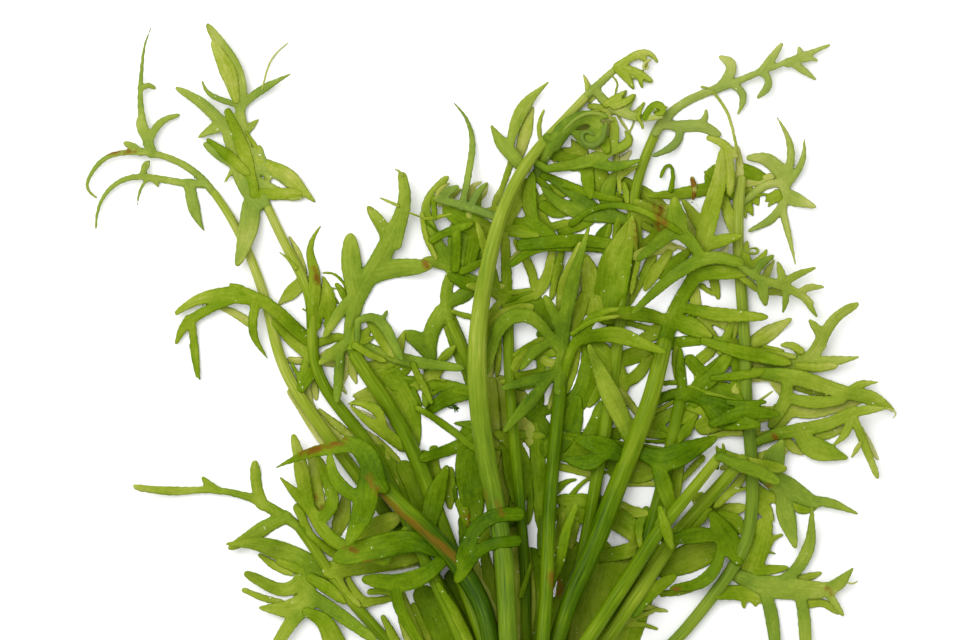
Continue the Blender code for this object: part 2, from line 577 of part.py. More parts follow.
def strap_outline(line, width, field, table):
    """A strap's two sides and its tip as one loop."""
    edge = sideways(line) * np.maximum(width, THINNEST)[:, None] / 2
    kept = few(np.column_stack((line, width / 2, table.at(field, line))), STRAY)
    left = (line[kept] + edge[kept])[::-1]
    right = line[kept] - edge[kept]
    if width[-1] < 0.0013:
        return np.vstack((right[:-1], line[-1:], left[1:]))
    ahead = line[-1] - line[-3]
    beyond = line[-1] + ahead / np.hypot(*ahead) * width[-1] * 0.4
    return np.vstack((right, beyond, left))


def blade_object(name, straps, table, field):
    """All the straps joined into one sheet, lifted to its heights and thickened."""
    corners, loops = [], []
    for line, width in straps:
        outline = strap_outline(line, width, field, table)
        loops.append(list(range(len(corners), len(corners) + len(outline))))
        corners += [Vector(place) for place in outline]
    plan, _, faces, _, _, sources = delaunay_2d_cdt(corners, [], loops, 1, 0.0001)
    places = np.array([tuple(place) for place in plan])
    heights = table.at(field, places)
    mesh = bpy.data.meshes.new(name)
    inside = [list(face) for face, source in zip(faces, sources) if source]
    mesh.from_pydata(seen(np.column_stack((places, heights))).tolist(), [], inside)
    made = bmesh.new()
    made.from_mesh(mesh)
    bmesh.ops.delete(made, geom=[v for v in made.verts if not v.link_faces], context="VERTS")
    bmesh.ops.recalc_face_normals(made, faces=made.faces)
    made.to_mesh(mesh)
    made.free()
    obj = bpy.data.objects.new(name, mesh)
    thick = obj.modifiers.new("thickness", "SOLIDIFY")
    thick.thickness = SHEET
    thick.offset = 0.0
    return obj


def crown_object(name, cutters):
    """A short rounded lump on its side, with a flat underside to lie on."""
    mesh = bpy.data.meshes.new(name)
    made = bmesh.new()
    bmesh.ops.create_cone(made, cap_ends=True, segments=24, radius1=0.5, radius2=0.5, depth=1.0)
    bmesh.ops.rotate(made, verts=made.verts, matrix=Matrix.Rotation(math.pi / 2, 3, "X"))
    bmesh.ops.scale(made, verts=made.verts, vec=(CROWN_WIDTH, CROWN_LENGTH, CROWN_HEIGHT))
    made.to_mesh(mesh)
    made.free()
    obj = bpy.data.objects.new(name, mesh)
    top = flat([CROWN_TOP])[0] * (1 - CROWN_LIFT / EYE) - ORIGIN
    obj.location = (top[0], top[1] - CROWN_LENGTH / 2, CROWN_LIFT)
    rounded = obj.modifiers.new("rounded", "BEVEL")
    rounded.width = 0.003
    rounded.segments = 3
    box = bpy.data.objects.new("table_cut", bpy.data.meshes.new("table_cut"))
    made = bmesh.new()
    bmesh.ops.create_cube(made, size=0.1)
    made.to_mesh(box.data)
    made.free()
    box.location = (obj.location.x, obj.location.y, -0.05)
    box.hide_render = True
    box.display_type = "WIRE"
    cutters.objects.link(box)
    cut = obj.modifiers.new("flat underside", "BOOLEAN")
    cut.operation = "DIFFERENCE"
    cut.solver = "EXACT"
    cut.object = box
    return obj


def finish(obj, home, colour):
    obj.data.materials.append(colour)
    home.objects.link(obj)


def build():
    clear_scene()
    home = collection("water_sprite")
    cutters = collection("water_sprite_cutters", hidden=True)
    stalk_green = material("stalk_green", (0.22, 0.33, 0.05), 0.35)
    leaf_green = material("leaf_green", (0.16, 0.30, 0.02), 0.35)
    crown_brown = material("crown_brown", (0.20, 0.22, 0.07), 0.6)

    table = Table(flat([(60, 790)])[0], flat([(920, 5)])[0])
    stalks = {name: strap(widths, points) for name, _, widths, points in STALKS}
    order = [(rank, name, None) for name, rank, _, _ in STALKS]
    order += [(entry[1], entry[0], entry) for entry in BLADES]
    for seed, (_, name, entry) in enumerate(sorted(order, key=lambda item: item[:2])):
        if entry is None:
            heights = lay_stalk(table, name, *stalks[name])
            finish(stalk_object(name, *stalks[name], heights), home, stalk_green)
            print(name, "foot", round(heights[0] * 1000, 1), "highest", round(heights.max() * 1000, 1))
            continue
        _, _, parent, rise, lines = entry
        straps = [cut_back(*strap(line[:3], line[3:]), stalks[parent]) for line in lines]
        straps = [found for found in straps if found]
        field = lay_blade(table, name, straps, parent, seed, rise)
        finish(blade_object(name, straps, table, field), home, leaf_green)
    finish(crown_object("crown", cutters), home, crown_brown)


build()
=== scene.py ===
# %% [markdown]
# # A picked bunch of water sprite
# Water sprite is a fern that grows under water. Here one bunch lies on a white table, seen from straight above:
# pale fleshy stalks fan out from a short crown, and each ends in thin blades cut into narrow lobes.
# The plain solids of all sixty pieces are loaded first. Every surface made below follows one of them.

import bpy
import numpy as np
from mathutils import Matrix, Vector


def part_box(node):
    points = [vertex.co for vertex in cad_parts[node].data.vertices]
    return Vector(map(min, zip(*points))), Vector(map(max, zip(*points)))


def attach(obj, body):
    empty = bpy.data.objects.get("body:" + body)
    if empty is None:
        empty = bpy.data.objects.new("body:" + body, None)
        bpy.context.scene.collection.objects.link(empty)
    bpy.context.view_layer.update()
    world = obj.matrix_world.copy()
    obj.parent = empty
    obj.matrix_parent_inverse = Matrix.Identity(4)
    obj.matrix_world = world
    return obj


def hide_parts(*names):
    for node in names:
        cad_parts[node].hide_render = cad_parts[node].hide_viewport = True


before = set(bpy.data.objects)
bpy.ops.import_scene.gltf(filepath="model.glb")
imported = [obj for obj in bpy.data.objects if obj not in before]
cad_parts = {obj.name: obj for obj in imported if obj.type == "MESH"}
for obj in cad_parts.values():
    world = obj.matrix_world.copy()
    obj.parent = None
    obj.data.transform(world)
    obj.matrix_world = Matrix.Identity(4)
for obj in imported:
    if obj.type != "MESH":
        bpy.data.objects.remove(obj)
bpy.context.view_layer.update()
scene = bpy.context.scene

# %% [markdown]
# ## The drawing and the camera
# All outlines below are points on one drawing, read in steps of 0.3 mm, with x to the right and y downwards.
# The drawing is a view from one metre above the table, so a long lens looks straight down from that height.
# A leaf that lies higher looks a little larger from there, so `seen` draws it in by the same share.

# %% From the drawing to the table
STEP = 0.0003
MIDDLE = np.array((480.0, 320.0))
EYE = 1.0
ORIGIN = np.array((0.00238, -0.02741))


def flat(points):
    """Drawing steps to metres: x from the middle to the right, y from the middle upwards."""
    return (np.array(points, dtype=float) - MIDDLE) * (STEP, -STEP)


def seen(plan, height):
    """True place of a drawn point at a height: its plan times one minus height over the eye's height."""
    drawn_in = plan * (1 - height / EYE)[:, None] - ORIGIN
    return np.column_stack((drawn_in, height))


corners = np.round(flat(((0, 0), (960, 640))) * 1000, 1)
print("drawing from", corners[0], "to", corners[1], "mm")

# %% [markdown]
# The camera stands over the middle of the drawing. Its lens is the sensor's width times the eye's height over the
# drawing's width, so the drawing just fills the picture.

# %% Camera
FRAME_WIDTH = 960 * STEP
camera = bpy.data.objects.new("camera", bpy.data.cameras.new("camera"))
camera.data.sensor_width = 36.0
camera.data.lens = camera.data.sensor_width * EYE / FRAME_WIDTH
camera.location = (-ORIGIN[0], -ORIGIN[1], EYE)
scene.collection.objects.link(camera)
scene.camera = camera
print("lens", round(camera.data.lens), "mm")

# %% [markdown]
# ## Table and light
# The table is plain white and almost shadowless. A white sky gives the even light, and one broad lamp at the
# upper left puts a soft streak along each wet stalk and a faint shadow to the lower right of the thick parts.

# %% Table
TABLE_HALF = 2.0
floor_mesh = bpy.data.meshes.new("floor")
floor_corners = np.array([(-1, -1, 0), (1, -1, 0), (1, 1, 0), (-1, 1, 0)]) * TABLE_HALF
floor_mesh.from_pydata(floor_corners, [], [(0, 1, 2, 3)])
floor = bpy.data.objects.new("floor", floor_mesh)
scene.collection.objects.link(floor)
white = bpy.data.materials.new("white_table")
white.use_nodes = True
paint = white.node_tree.nodes["Principled BSDF"].inputs
paint["Base Color"].default_value = (0.95, 0.95, 0.95, 1.0)
paint["Roughness"].default_value = 0.8
floor_mesh.materials.append(white)
print("table", 2 * TABLE_HALF, "m wide")

# %% [markdown]
# The photograph's light is even, with soft shadows. A white sky gives most of it, and one broad lamp from the upper
# left gives the rest. Many small lamps could do the same, but their shadows would show as separate edges.

# %% Light
SKY_STRENGTH = 0.86
LAMP_PLACE, LAMP_SIZE, LAMP_POWER = (-0.45, 0.40, 0.9), 0.9, 9.0
sky = bpy.data.worlds.new("sky")
sky.use_nodes = True
sky.node_tree.nodes["Background"].inputs["Color"].default_value = (1.0, 1.0, 1.0, 1.0)
sky.node_tree.nodes["Background"].inputs["Strength"].default_value = SKY_STRENGTH
scene.world = sky


def lamp(name, place, size, power):
    """A square lamp that faces the middle of the table."""
    light = bpy.data.lights.new(name, "AREA")
    light.size = size
    light.energy = power
    made = bpy.data.objects.new(name, light)
    made.location = place
    made.rotation_euler = (-made.location).to_track_quat("-Z", "Y").to_euler()
    scene.collection.objects.link(made)


lamp("key", LAMP_PLACE, LAMP_SIZE, LAMP_POWER)
scene.view_settings.view_transform = "Standard"

# %% [markdown]
# ## The stalks' drawing
# Fifteen stalks leave the crown below the picture's edge. A curve could be drawn with Blender's own curve tool,
# but a plain list of points keeps each one beside its widths, and the same list made the solid.
# Each row is a name, an order from the table up, widths at foot, middle and tip, then the points.

# %% Stalks
STALKS = (
    ("arch_stalk", 30, (13, 13, 8), (
        (497, 716), (486, 676), (470, 640), (453, 606), (436, 578), (410, 545), (382, 508), (356, 474), (331, 440),
        (309, 410), (293, 386), (282, 364), (275, 342), (270, 316), (265, 298), (257, 274), (248, 251), (238, 231),
        (228, 212), (215, 194))),
    ("tall_stalk", 34, (13, 13, 9), (
        (484, 716), (474, 668), (450, 612), (426, 562), (404, 512), (382, 468), (364, 437), (346, 416), (329, 395),
        (317, 374), (312, 348), (312, 320), (311, 300), (306, 283), (297, 267), (287, 248), (277, 228), (269, 210))),
    ("hand_stalk", 40, (14, 16, 14), (
        (516, 716), (492, 662), (474, 612), (455, 560), (437, 512), (420, 466), (402, 428), (384, 398), (365, 372),
        (356, 357))),
    ("mid_left_stalk", 20, (11, 12, 11), (
        (506, 716), (506, 650), (500, 580), (496, 500), (486, 430), (474, 378), (461, 344), (452, 325))),
    ("low_left_stalk", 12, (12, 12, 10), (
        (487, 716), (484, 709), (474, 701), (455, 690), (420, 668), (388, 643), (364, 615), (345, 594), (327, 568),
        (313, 546), (301, 530))),
    ("striped_stalk", 44, (15, 20, 16), (
        (506, 716), (494, 660), (486, 612), (468, 577), (445, 548), (420, 522), (398, 504), (384, 488))),
    ("thick_stalk", 80, (18, 20, 9), (
        (517, 716), (512, 680), (508, 640), (507, 600), (504, 555), (497, 510), (488, 468), (481, 425), (477, 380),
        (477, 340), (482, 295), (491, 250), (501, 214), (517, 178), (538, 148), (562, 123), (584, 99))),
    ("straight_stalk", 24, (11, 11, 11), (
        (526, 716), (526, 650), (526, 580), (520, 500), (513, 430), (509, 370), (508, 320))),
    ("centre_stalk", 60, (13, 14, 13), (
        (526, 716), (542, 655), (547, 585), (549, 515), (555, 440), (560, 390))),
    ("upper_right_stalk", 26, (11, 13, 10), (
        (536, 716), (556, 660), (572, 600), (588, 530), (600, 460), (612, 390), (620, 320), (628, 250), (633, 205),
        (637, 180), (647, 152), (656, 132))),
    ("broad_stalk", 50, (14, 20, 16), (
        (543, 716), (552, 655), (572, 595), (597, 541), (618, 484), (636, 440), (652, 395), (664, 345))),
    ("dark_stalk", 10, (12, 14, 12), (
        (545, 716), (560, 676), (596, 640), (628, 590), (646, 545), (659, 500), (667, 465), (674, 430), (679, 405))),
    ("pale_stalk", 70, (13, 15, 10), (
        (553, 716), (563, 676), (589, 638), (613, 601), (638, 563), (661, 528), (686, 498), (704, 475), (718, 458))),
    ("slant_stalk", 32, (12, 16, 12), (
        (550, 716), (566, 690), (606, 640), (640, 590), (668, 545), (700, 508), (725, 480), (742, 460))),
    ("far_right_stalk", 28, (11, 13, 11), (
        (556, 716), (558, 709), (568, 702), (590, 694), (626, 682), (676, 641), (698, 615), (716, 592), (735, 566),
        (748, 540), (753, 500), (751, 450), (746, 400), (745, 350), (742, 300), (738, 250), (738, 208), (741, 180))),
)
print("stalks", len(STALKS))

# %% [markdown]
# ## The blades' drawing
# A blade is a few straps that share one sheet. The first strap is the axis and the others are its lobes.
# Each row is a name, an order, the stalk it grows from, the rise of its far end in millimetres, then the straps:
# widths at foot, middle and tip, and points.

# %% Blades
BLADES = (
    ("arch_blade", 31, "arch_stalk", 3, (
        (8, 7, 6, (212, 191), (204, 180), (190, 168), (175, 160), (158, 154), (140, 152)),
        (6, 5, 2, (142, 152), (125, 152), (108, 155), (96, 165), (84, 186), (88, 194), (97, 198)),
        (10, 5, 1, (152, 153), (146, 135), (141, 115), (140, 95), (141, 76), (144, 45), (152, 25)),
        (8, 8, 4, (147, 144), (154, 130), (163, 119), (179, 115)),
        (8, 6, 2, (203, 184), (188, 184), (172, 181), (150, 177), (135, 176), (120, 180), (105, 192), (96, 213),
         (96, 230)),
        (11, 13, 1, (189, 184), (192, 200), (196, 216), (204, 231)),
        (3, 3, 1, (149, 178), (140, 188), (137, 206)))),
    ("tall_blade", 36, "tall_stalk", 3, (
        (9, 9, 9, (267, 206), (257, 181), (249, 155), (244, 132), (240, 110)),
        (9, 19, 7, (240, 112), (241, 92), (236, 74), (227, 56), (217, 39), (209, 27)),
        (6, 6, 2, (240, 106), (225, 101), (212, 97), (204, 90), (202, 81)),
        (7, 9, 1, (240, 108), (252, 96), (264, 88), (292, 73)),
        (8, 14, 1, (252, 170), (268, 170), (281, 174), (295, 183), (316, 203)),
        (8, 11, 8, (257, 180), (270, 188), (284, 196), (299, 197)),
        (12, 19, 12, (258, 205), (246, 190), (241, 172), (236, 153), (226, 127)),
        (12, 12, 6, (228, 130), (210, 110), (195, 98), (178, 89)),
        (10, 12, 9, (238, 166), (225, 158), (208, 146)),
        (8, 18, 8, (256, 190), (254, 212), (247, 240), (239, 262)))),
    ("left_wing_blade", 38, "tall_stalk", 1, (
        (14, 14, 5, (308, 340), (294, 328), (279, 313), (262, 300), (246, 291), (232, 285)),
        (10, 12, 1, (268, 303), (240, 298), (218, 297), (196, 301), (176, 315)),
        (10, 9, 1, (256, 303), (252, 320), (253, 338), (268, 359)),
        (6, 11, 3, (230, 302), (208, 309), (188, 321), (176, 343)),
        (8, 8, 1, (191, 318), (194, 342), (200, 382)))),
    ("hand_blade", 42, "hand_stalk", 4, (
        (12, 14, 16, (354, 354), (349, 334), (353, 315), (358, 295)),
        (16, 20, 5, (357, 300), (369, 276), (382, 256), (392, 236), (401, 216), (405, 200), (400, 174)),
        (16, 18, 15, (355, 290), (352, 270), (351, 242)),
        (12, 11, 8, (390, 243), (382, 228), (370, 210)),
        (18, 18, 15, (372, 272), (390, 268), (424, 266)),
        (10, 12, 8, (357, 292), (342, 308), (326, 334)),
        (8, 14, 8, (351, 338), (338, 350), (322, 362)),
        (8, 11, 8, (341, 348), (339, 374), (337, 399)),
        (8, 14, 8, (351, 336), (374, 351), (412, 362), (461, 368)))),
    ("whorl_arch_blade", 45, "hand_stalk", 5, (
        (7, 12, 8, (358, 321), (371, 314), (384, 324), (392, 340), (400, 357)),
        (6, 5, 3, (381, 322), (387, 311)))),
    ("low_hand_blade", 41, "hand_stalk", 2, (
        (12, 12, 2, (402, 446), (384, 432), (366, 420), (350, 406)),
        (8, 11, 1, (384, 434), (381, 412), (368, 404), (347, 403)))),
    ("mid_left_blade", 21, "mid_left_stalk", 3, (
        (11, 12, 11, (450, 322), (445, 304), (446, 288), (454, 268)),
        (10, 14, 12, (453, 268), (441, 262), (429, 261)),
        (12, 11, 4, (450, 266), (438, 244), (427, 220), (424, 206), (431, 192), (445, 177)),
        (12, 28, 14, (455, 266), (458, 245), (463, 226), (476, 198)),
        (10, 12, 9, (454, 270), (470, 280), (486, 283)),
        (8, 9, 7, (457, 264), (472, 260), (486, 250)),
        (10, 13, 10, (447, 314), (436, 326), (430, 345), (430, 372), (426, 402)),
        (12, 16, 10, (430, 356), (420, 342), (407, 335)),
        (8, 16, 10, (446, 305), (459, 298), (478, 286)))),
    ("low_left_blade", 14, "low_left_stalk", 3, (
        (10, 12, 8, (298, 526), (285, 517), (268, 507), (250, 497)),
        (8, 5, 6, (252, 498), (227, 491), (200, 490), (172, 493), (137, 488)),
        (12, 11, 11, (262, 504), (256, 485), (255, 466)),
        (6, 9, 6, (220, 491), (209, 486), (204, 479)),
        (12, 16, 8, (286, 517), (270, 524), (252, 536), (232, 547)))),
    ("low_left_fork_blade", 15, "low_left_stalk", 4, (
        (14, 22, 3, (330, 575), (310, 562), (285, 553), (258, 543), (227, 544)),
        (14, 14, 10, (308, 562), (299, 586), (281, 592), (249, 575)),
        (14, 24, 4, (302, 576), (310, 598), (298, 610), (260, 608)),
        (16, 13, 11, (308, 604), (292, 620), (270, 656)),
        (14, 14, 10, (312, 596), (336, 612), (372, 638)))),
    ("upright_blade", 46, "striped_stalk", 3, (
        (12, 14, 12, (384, 560), (350, 550), (326, 536), (310, 508)),
        (10, 16, 8, (311, 512), (303, 480), (299, 455), (294, 438)),
        (8, 10, 1, (310, 512), (294, 492), (279, 476)),
        (12, 14, 8, (318, 521), (331, 512), (334, 498), (327, 478), (318, 458)))),
    ("striped_blade", 48, "striped_stalk", 4, (
        (12, 24, 14, (382, 485), (372, 466), (364, 450), (350, 442)),
        (12, 12, 1, (358, 446), (330, 448), (305, 454), (275, 468)),
        (12, 26, 12, (368, 460), (368, 486), (363, 515), (350, 540)),
        (12, 14, 8, (363, 500), (346, 492), (332, 476), (330, 458)))),
    ("striped_wide_blade", 47, "striped_stalk", 1, (
        (12, 26, 22, (446, 556), (415, 540), (385, 545), (345, 556)),)),
    ("striped_low_blade", 45, "striped_stalk", 1, (
        (12, 20, 14, (446, 557), (425, 576), (400, 584), (370, 580)),
        (12, 12, 10, (396, 582), (396, 600), (408, 625), (424, 650)))),
    ("thick_left_blade", 82, "thick_stalk", 4, (
        (14, 14, 2, (518, 162), (508, 150), (500, 142), (491, 125)),
        (6, 15, 1, (509, 152), (512, 135), (518, 117), (528, 100), (550, 81)))),
    ("thick_branch_blade", 83, "thick_stalk", 2, (
        (9, 9, 7, (495, 217), (478, 210), (458, 204), (437, 199)),
        (7, 7, 1, (462, 207), (466, 188), (473, 148), (472, 132), (466, 116), (452, 101)),
        (6, 10, 5, (440, 201), (447, 192), (457, 187)),
        (6, 8, 4, (470, 208), (477, 193), (486, 184)))),
    ("thick_tip_blade", 86, "thick_stalk", 2, (
        (9, 8, 6, (586, 97), (604, 79), (620, 65)),
        (6, 8, 3, (618, 67), (632, 57), (646, 49), (656, 60)),
        (6, 9, 4, (618, 66), (627, 77), (633, 88)),
        (6, 7, 4, (622, 70), (636, 76), (651, 82)),
        (9, 11, 4, (595, 89), (604, 103), (622, 112), (640, 119), (662, 117)),
        (8, 8, 3, (612, 108), (620, 100), (626, 91)),
        (8, 7, 3, (622, 112), (630, 103), (635, 95)))),
    ("fiddle_blade", 85, "thick_stalk", 2, (
        (10, 11, 12, (556, 147), (564, 134), (574, 122), (586, 116), (597, 121), (601, 136)),
        (14, 22, 14, (600, 131), (590, 141), (580, 136)))),
    ("thick_mid_blade", 84, "thick_stalk", 2, (
        (8, 14, 9, (547, 169), (566, 166), (590, 161), (608, 153), (615, 140), (614, 122)),
        (10, 11, 3, (594, 163), (615, 168), (641, 160)),
        (6, 10, 1, (612, 152), (622, 147), (631, 139), (624, 130)))),
    ("behind_top_blade", 27, "upper_right_stalk", 2, (
        (12, 18, 8, (632, 222), (608, 215), (585, 214), (560, 205), (545, 190)),
        (12, 14, 4, (600, 215), (585, 200), (550, 180)),
        (12, 18, 6, (612, 216), (605, 195), (616, 172)))),
    ("long_left_blade", 27, "upper_right_stalk", 0, (
        (12, 12, 8, (626, 262), (605, 246), (575, 246), (545, 245), (528, 252), (512, 264)),
        (10, 14, 8, (560, 246), (545, 230), (530, 222), (512, 222)),
        (10, 16, 8, (536, 226), (528, 205), (532, 176)))),
    ("straight_blade", 25, "straight_stalk", 1, (
        (11, 11, 9, (508, 316), (507, 290), (506, 260), (505, 236)),
        (8, 12, 8, (505, 303), (494, 290), (470, 286)),
        (8, 11, 6, (498, 294), (492, 270), (478, 225)),
        (9, 12, 8, (508, 302), (525, 299), (540, 292), (548, 276), (553, 248)),
        (8, 10, 7, (536, 296), (532, 270), (516, 242)))),
    ("centre_blade", 62, "centre_stalk", 4, (
        (13, 14, 12, (560, 386), (562, 362), (564, 345)),
        (12, 15, 3, (563, 348), (565, 318), (575, 272), (589, 227)),
        (8, 11, 9, (564, 344), (556, 318), (547, 300)),
        (8, 16, 8, (562, 354), (547, 332), (530, 314), (512, 315), (498, 327), (486, 372)),
        (8, 12, 6, (552, 342), (534, 350), (522, 368)),
        (8, 12, 6, (560, 372), (540, 378), (503, 388)),
        (8, 14, 6, (552, 376), (535, 396), (505, 430)))),
    ("centre_over_blade", 66, "centre_stalk", 5, (
        (10, 12, 4, (571, 352), (582, 330), (598, 312), (618, 309)),
        (10, 18, 6, (576, 342), (598, 334), (620, 335), (664, 352)))),
    ("bright_blade", 72, "broad_stalk", 6, (
        (14, 22, 7, (634, 446), (622, 418), (607, 388), (590, 348)),
        (14, 18, 6, (628, 434), (645, 420), (652, 402), (650, 384)))),
    ("broad_low_blade", 52, "broad_stalk", 3, (
        (14, 26, 10, (640, 452), (664, 462), (690, 450), (712, 440)),
        (12, 18, 12, (656, 460), (664, 485), (672, 510)))),
    ("broad_low_left_blade", 51, "broad_stalk", 2, (
        (12, 22, 12, (630, 460), (608, 448), (580, 440)),
        (10, 18, 8, (610, 450), (590, 464), (568, 460)))),
    ("broad_blade", 54, "broad_stalk", 3, (
        (16, 15, 14, (665, 341), (672, 318), (680, 300), (692, 282)),
        (10, 16, 14, (688, 284), (704, 272), (742, 272)),
        (12, 20, 12, (690, 286), (700, 255), (706, 230), (712, 206), (720, 180), (724, 152)),
        (10, 14, 6, (703, 248), (722, 240), (740, 236)),
        (10, 12, 6, (705, 232), (694, 216), (684, 202)),
        (12, 20, 12, (672, 320), (690, 326), (706, 334)),
        (10, 15, 8, (684, 308), (712, 314), (738, 316), (764, 317)),
        (10, 16, 10, (672, 322), (645, 314), (606, 312)))),
    ("brown_spot_blade", 37, "upper_right_stalk", 5, (
        (14, 26, 6, (614, 334), (618, 300), (624, 268), (632, 242), (632, 218)),
        (12, 20, 14, (613, 325), (600, 300), (587, 262)))),
    ("right_grey_blade", 56, "far_right_stalk", 4, (
        (12, 14, 6, (737, 262), (715, 256), (694, 262), (672, 276), (650, 296), (634, 312)),
        (10, 16, 8, (704, 260), (690, 240), (676, 228), (640, 258)),
        (8, 22, 14, (684, 238), (676, 220), (675, 205)))),
    ("upper_right_blade", 33, "upper_right_stalk", 2, (
        (10, 9, 8, (658, 129), (668, 115), (684, 102), (700, 95), (716, 89)),
        (8, 6, 2, (714, 90), (734, 83), (759, 72), (782, 64), (803, 55), (830, 45)),
        (8, 10, 4, (718, 88), (730, 76), (733, 66), (720, 57)),
        (7, 8, 1, (732, 84), (744, 92), (743, 104), (737, 116)),
        (8, 9, 5, (761, 72), (772, 58), (781, 45)),
        (6, 6, 3, (762, 71), (770, 82), (758, 97)),
        (6, 8, 3, (790, 62), (803, 70), (815, 79)),
        (8, 13, 10, (660, 124), (684, 127), (700, 124), (716, 133)),
        (7, 6, 2, (700, 124), (706, 118), (706, 109)),
        (8, 9, 4, (680, 127), (680, 141), (668, 150), (653, 156)))),
    ("far_right_blade", 57, "far_right_stalk", 4, (
        (8, 9, 8, (741, 204), (758, 190), (770, 182), (786, 184)),
        (8, 8, 1, (784, 186), (790, 168), (792, 150), (787, 133), (776, 116)),
        (7, 7, 1, (788, 184), (799, 170), (805, 155), (804, 138)),
        (8, 11, 4, (784, 182), (774, 166), (762, 158), (748, 159)),
        (8, 16, 4, (784, 182), (784, 196), (798, 200), (815, 207)),
        (8, 7, 1, (784, 192), (782, 210), (788, 232), (796, 266)),
        (8, 9, 3, (783, 204), (772, 220), (749, 231)))),
    ("far_right_fine_blade", 55, "far_right_stalk", 3, (
        (7, 10, 7, (740, 266), (762, 281), (780, 284), (800, 294), (810, 302)),
        (6, 6, 2, (806, 300), (817, 317)),
        (8, 8, 3, (782, 284), (798, 274), (815, 268)),
        (6, 9, 4, (784, 287), (781, 272), (778, 263)),
        (8, 12, 8, (761, 280), (763, 292), (765, 302)),
        (7, 7, 2, (786, 287), (786, 300), (783, 313)),
        (6, 8, 3, (798, 294), (808, 287), (823, 287)),
        (6, 9, 4, (754, 276), (761, 263), (773, 256)))),
    ("antler_blade", 59, "far_right_stalk", 4, (
        (9, 14, 9, (744, 352), (768, 362), (786, 366), (808, 362), (818, 348), (826, 330), (838, 314), (854, 306)),
        (8, 10, 2, (814, 360), (838, 361), (859, 357)),
        (8, 10, 8, (822, 346), (820, 332), (812, 323)),
        (7, 9, 2, (802, 364), (799, 348), (783, 345)))),
    ("right_spear_blade", 53, "far_right_stalk", 3, (
        (12, 18, 4, (744, 350), (758, 340), (774, 330), (791, 319)),)),
    ("right_fan_blade", 61, "far_right_stalk", 3, (
        (10, 18, 12, (748, 372), (772, 374), (800, 378), (830, 388), (852, 394)),
        (12, 16, 3, (846, 393), (866, 396), (884, 403), (894, 411)),
        (8, 8, 1, (848, 393), (858, 384), (879, 382)),
        (10, 14, 10, (786, 376), (788, 396), (772, 424)),
        (10, 14, 8, (787, 398), (812, 403), (842, 401)))),
    ("right_fork_blade", 63, "far_right_stalk", 2, (
        (10, 14, 12, (752, 444), (775, 434), (800, 430), (830, 424), (852, 412)),
        (10, 10, 1, (848, 415), (862, 410), (889, 408)),
        (8, 9, 6, (852, 414), (862, 438), (877, 476)),
        (8, 9, 2, (852, 416), (846, 434), (833, 446)),
        (14, 24, 4, (800, 430), (806, 446), (847, 458)))),
    ("right_lower_blade", 64, "far_right_stalk", 3, (
        (12, 24, 14, (752, 466), (776, 482), (796, 492), (812, 502)),
        (10, 10, 2, (806, 500), (830, 502), (858, 514)),
        (12, 20, 6, (782, 486), (784, 508), (795, 546)),
        (14, 24, 12, (772, 478), (773, 460), (780, 446)))),
    ("lower_right_blade", 65, "far_right_stalk", 3, (
        (12, 24, 16, (730, 572), (756, 584), (780, 588), (806, 590), (828, 590)),
        (10, 14, 2, (820, 590), (838, 586), (853, 568)),
        (12, 14, 11, (764, 590), (771, 610), (776, 648)),
        (10, 13, 12, (798, 590), (804, 612), (806, 648)),
        (8, 8, 5, (826, 590), (834, 602), (842, 614)),
        (10, 14, 3, (776, 584), (798, 570), (811, 544), (812, 508)))),
    ("lower_right_upper_blade", 67, "far_right_stalk", 2, (
        (12, 26, 16, (738, 560), (728, 540), (716, 520)),
        (10, 18, 8, (726, 538), (705, 534), (665, 540)),
        (10, 14, 8, (722, 548), (716, 570), (700, 585), (674, 588)))),
    ("right_centre_blade", 49, "dark_stalk", 3, (
        (12, 16, 12, (680, 400), (700, 387), (716, 374), (728, 356)),
        (10, 16, 10, (688, 395), (706, 402), (748, 411)),
        (8, 12, 6, (684, 398), (680, 372), (680, 350)),
        (12, 20, 10, (706, 403), (718, 420), (755, 424)),
        (8, 10, 6, (689, 393), (676, 391), (660, 400), (645, 410)))),
    ("right_back_blade", 29, "far_right_stalk", 2, (
        (10, 14, 6, (736, 196), (712, 188), (680, 194), (650, 196)),
        (8, 12, 8, (716, 188), (708, 178), (714, 168)))),
    ("pale_blade", 73, "pale_stalk", 3, (
        (9, 14, 12, (720, 456), (734, 464), (756, 470), (774, 480)),)),
    ("base_leaf_blade", 75, "centre_stalk", 2, (
        (8, 12, 6, (549, 590), (560, 560), (566, 530), (576, 505)),)),
    ("base_dark_blade", 22, "mid_left_stalk", 0, (
        (14, 22, 10, (512, 520), (524, 475), (516, 445), (498, 434)),)),
)
print("blades", len(BLADES), "with", sum(len(row[4]) for row in BLADES), "straps")

# %% [markdown]
# ## What the solids leave out
# Lobes too small for the solids join the sheet of the blade that they grow from, under whose name they stand here.
# Each is a strap, as above: widths at foot, middle and tip, then points.

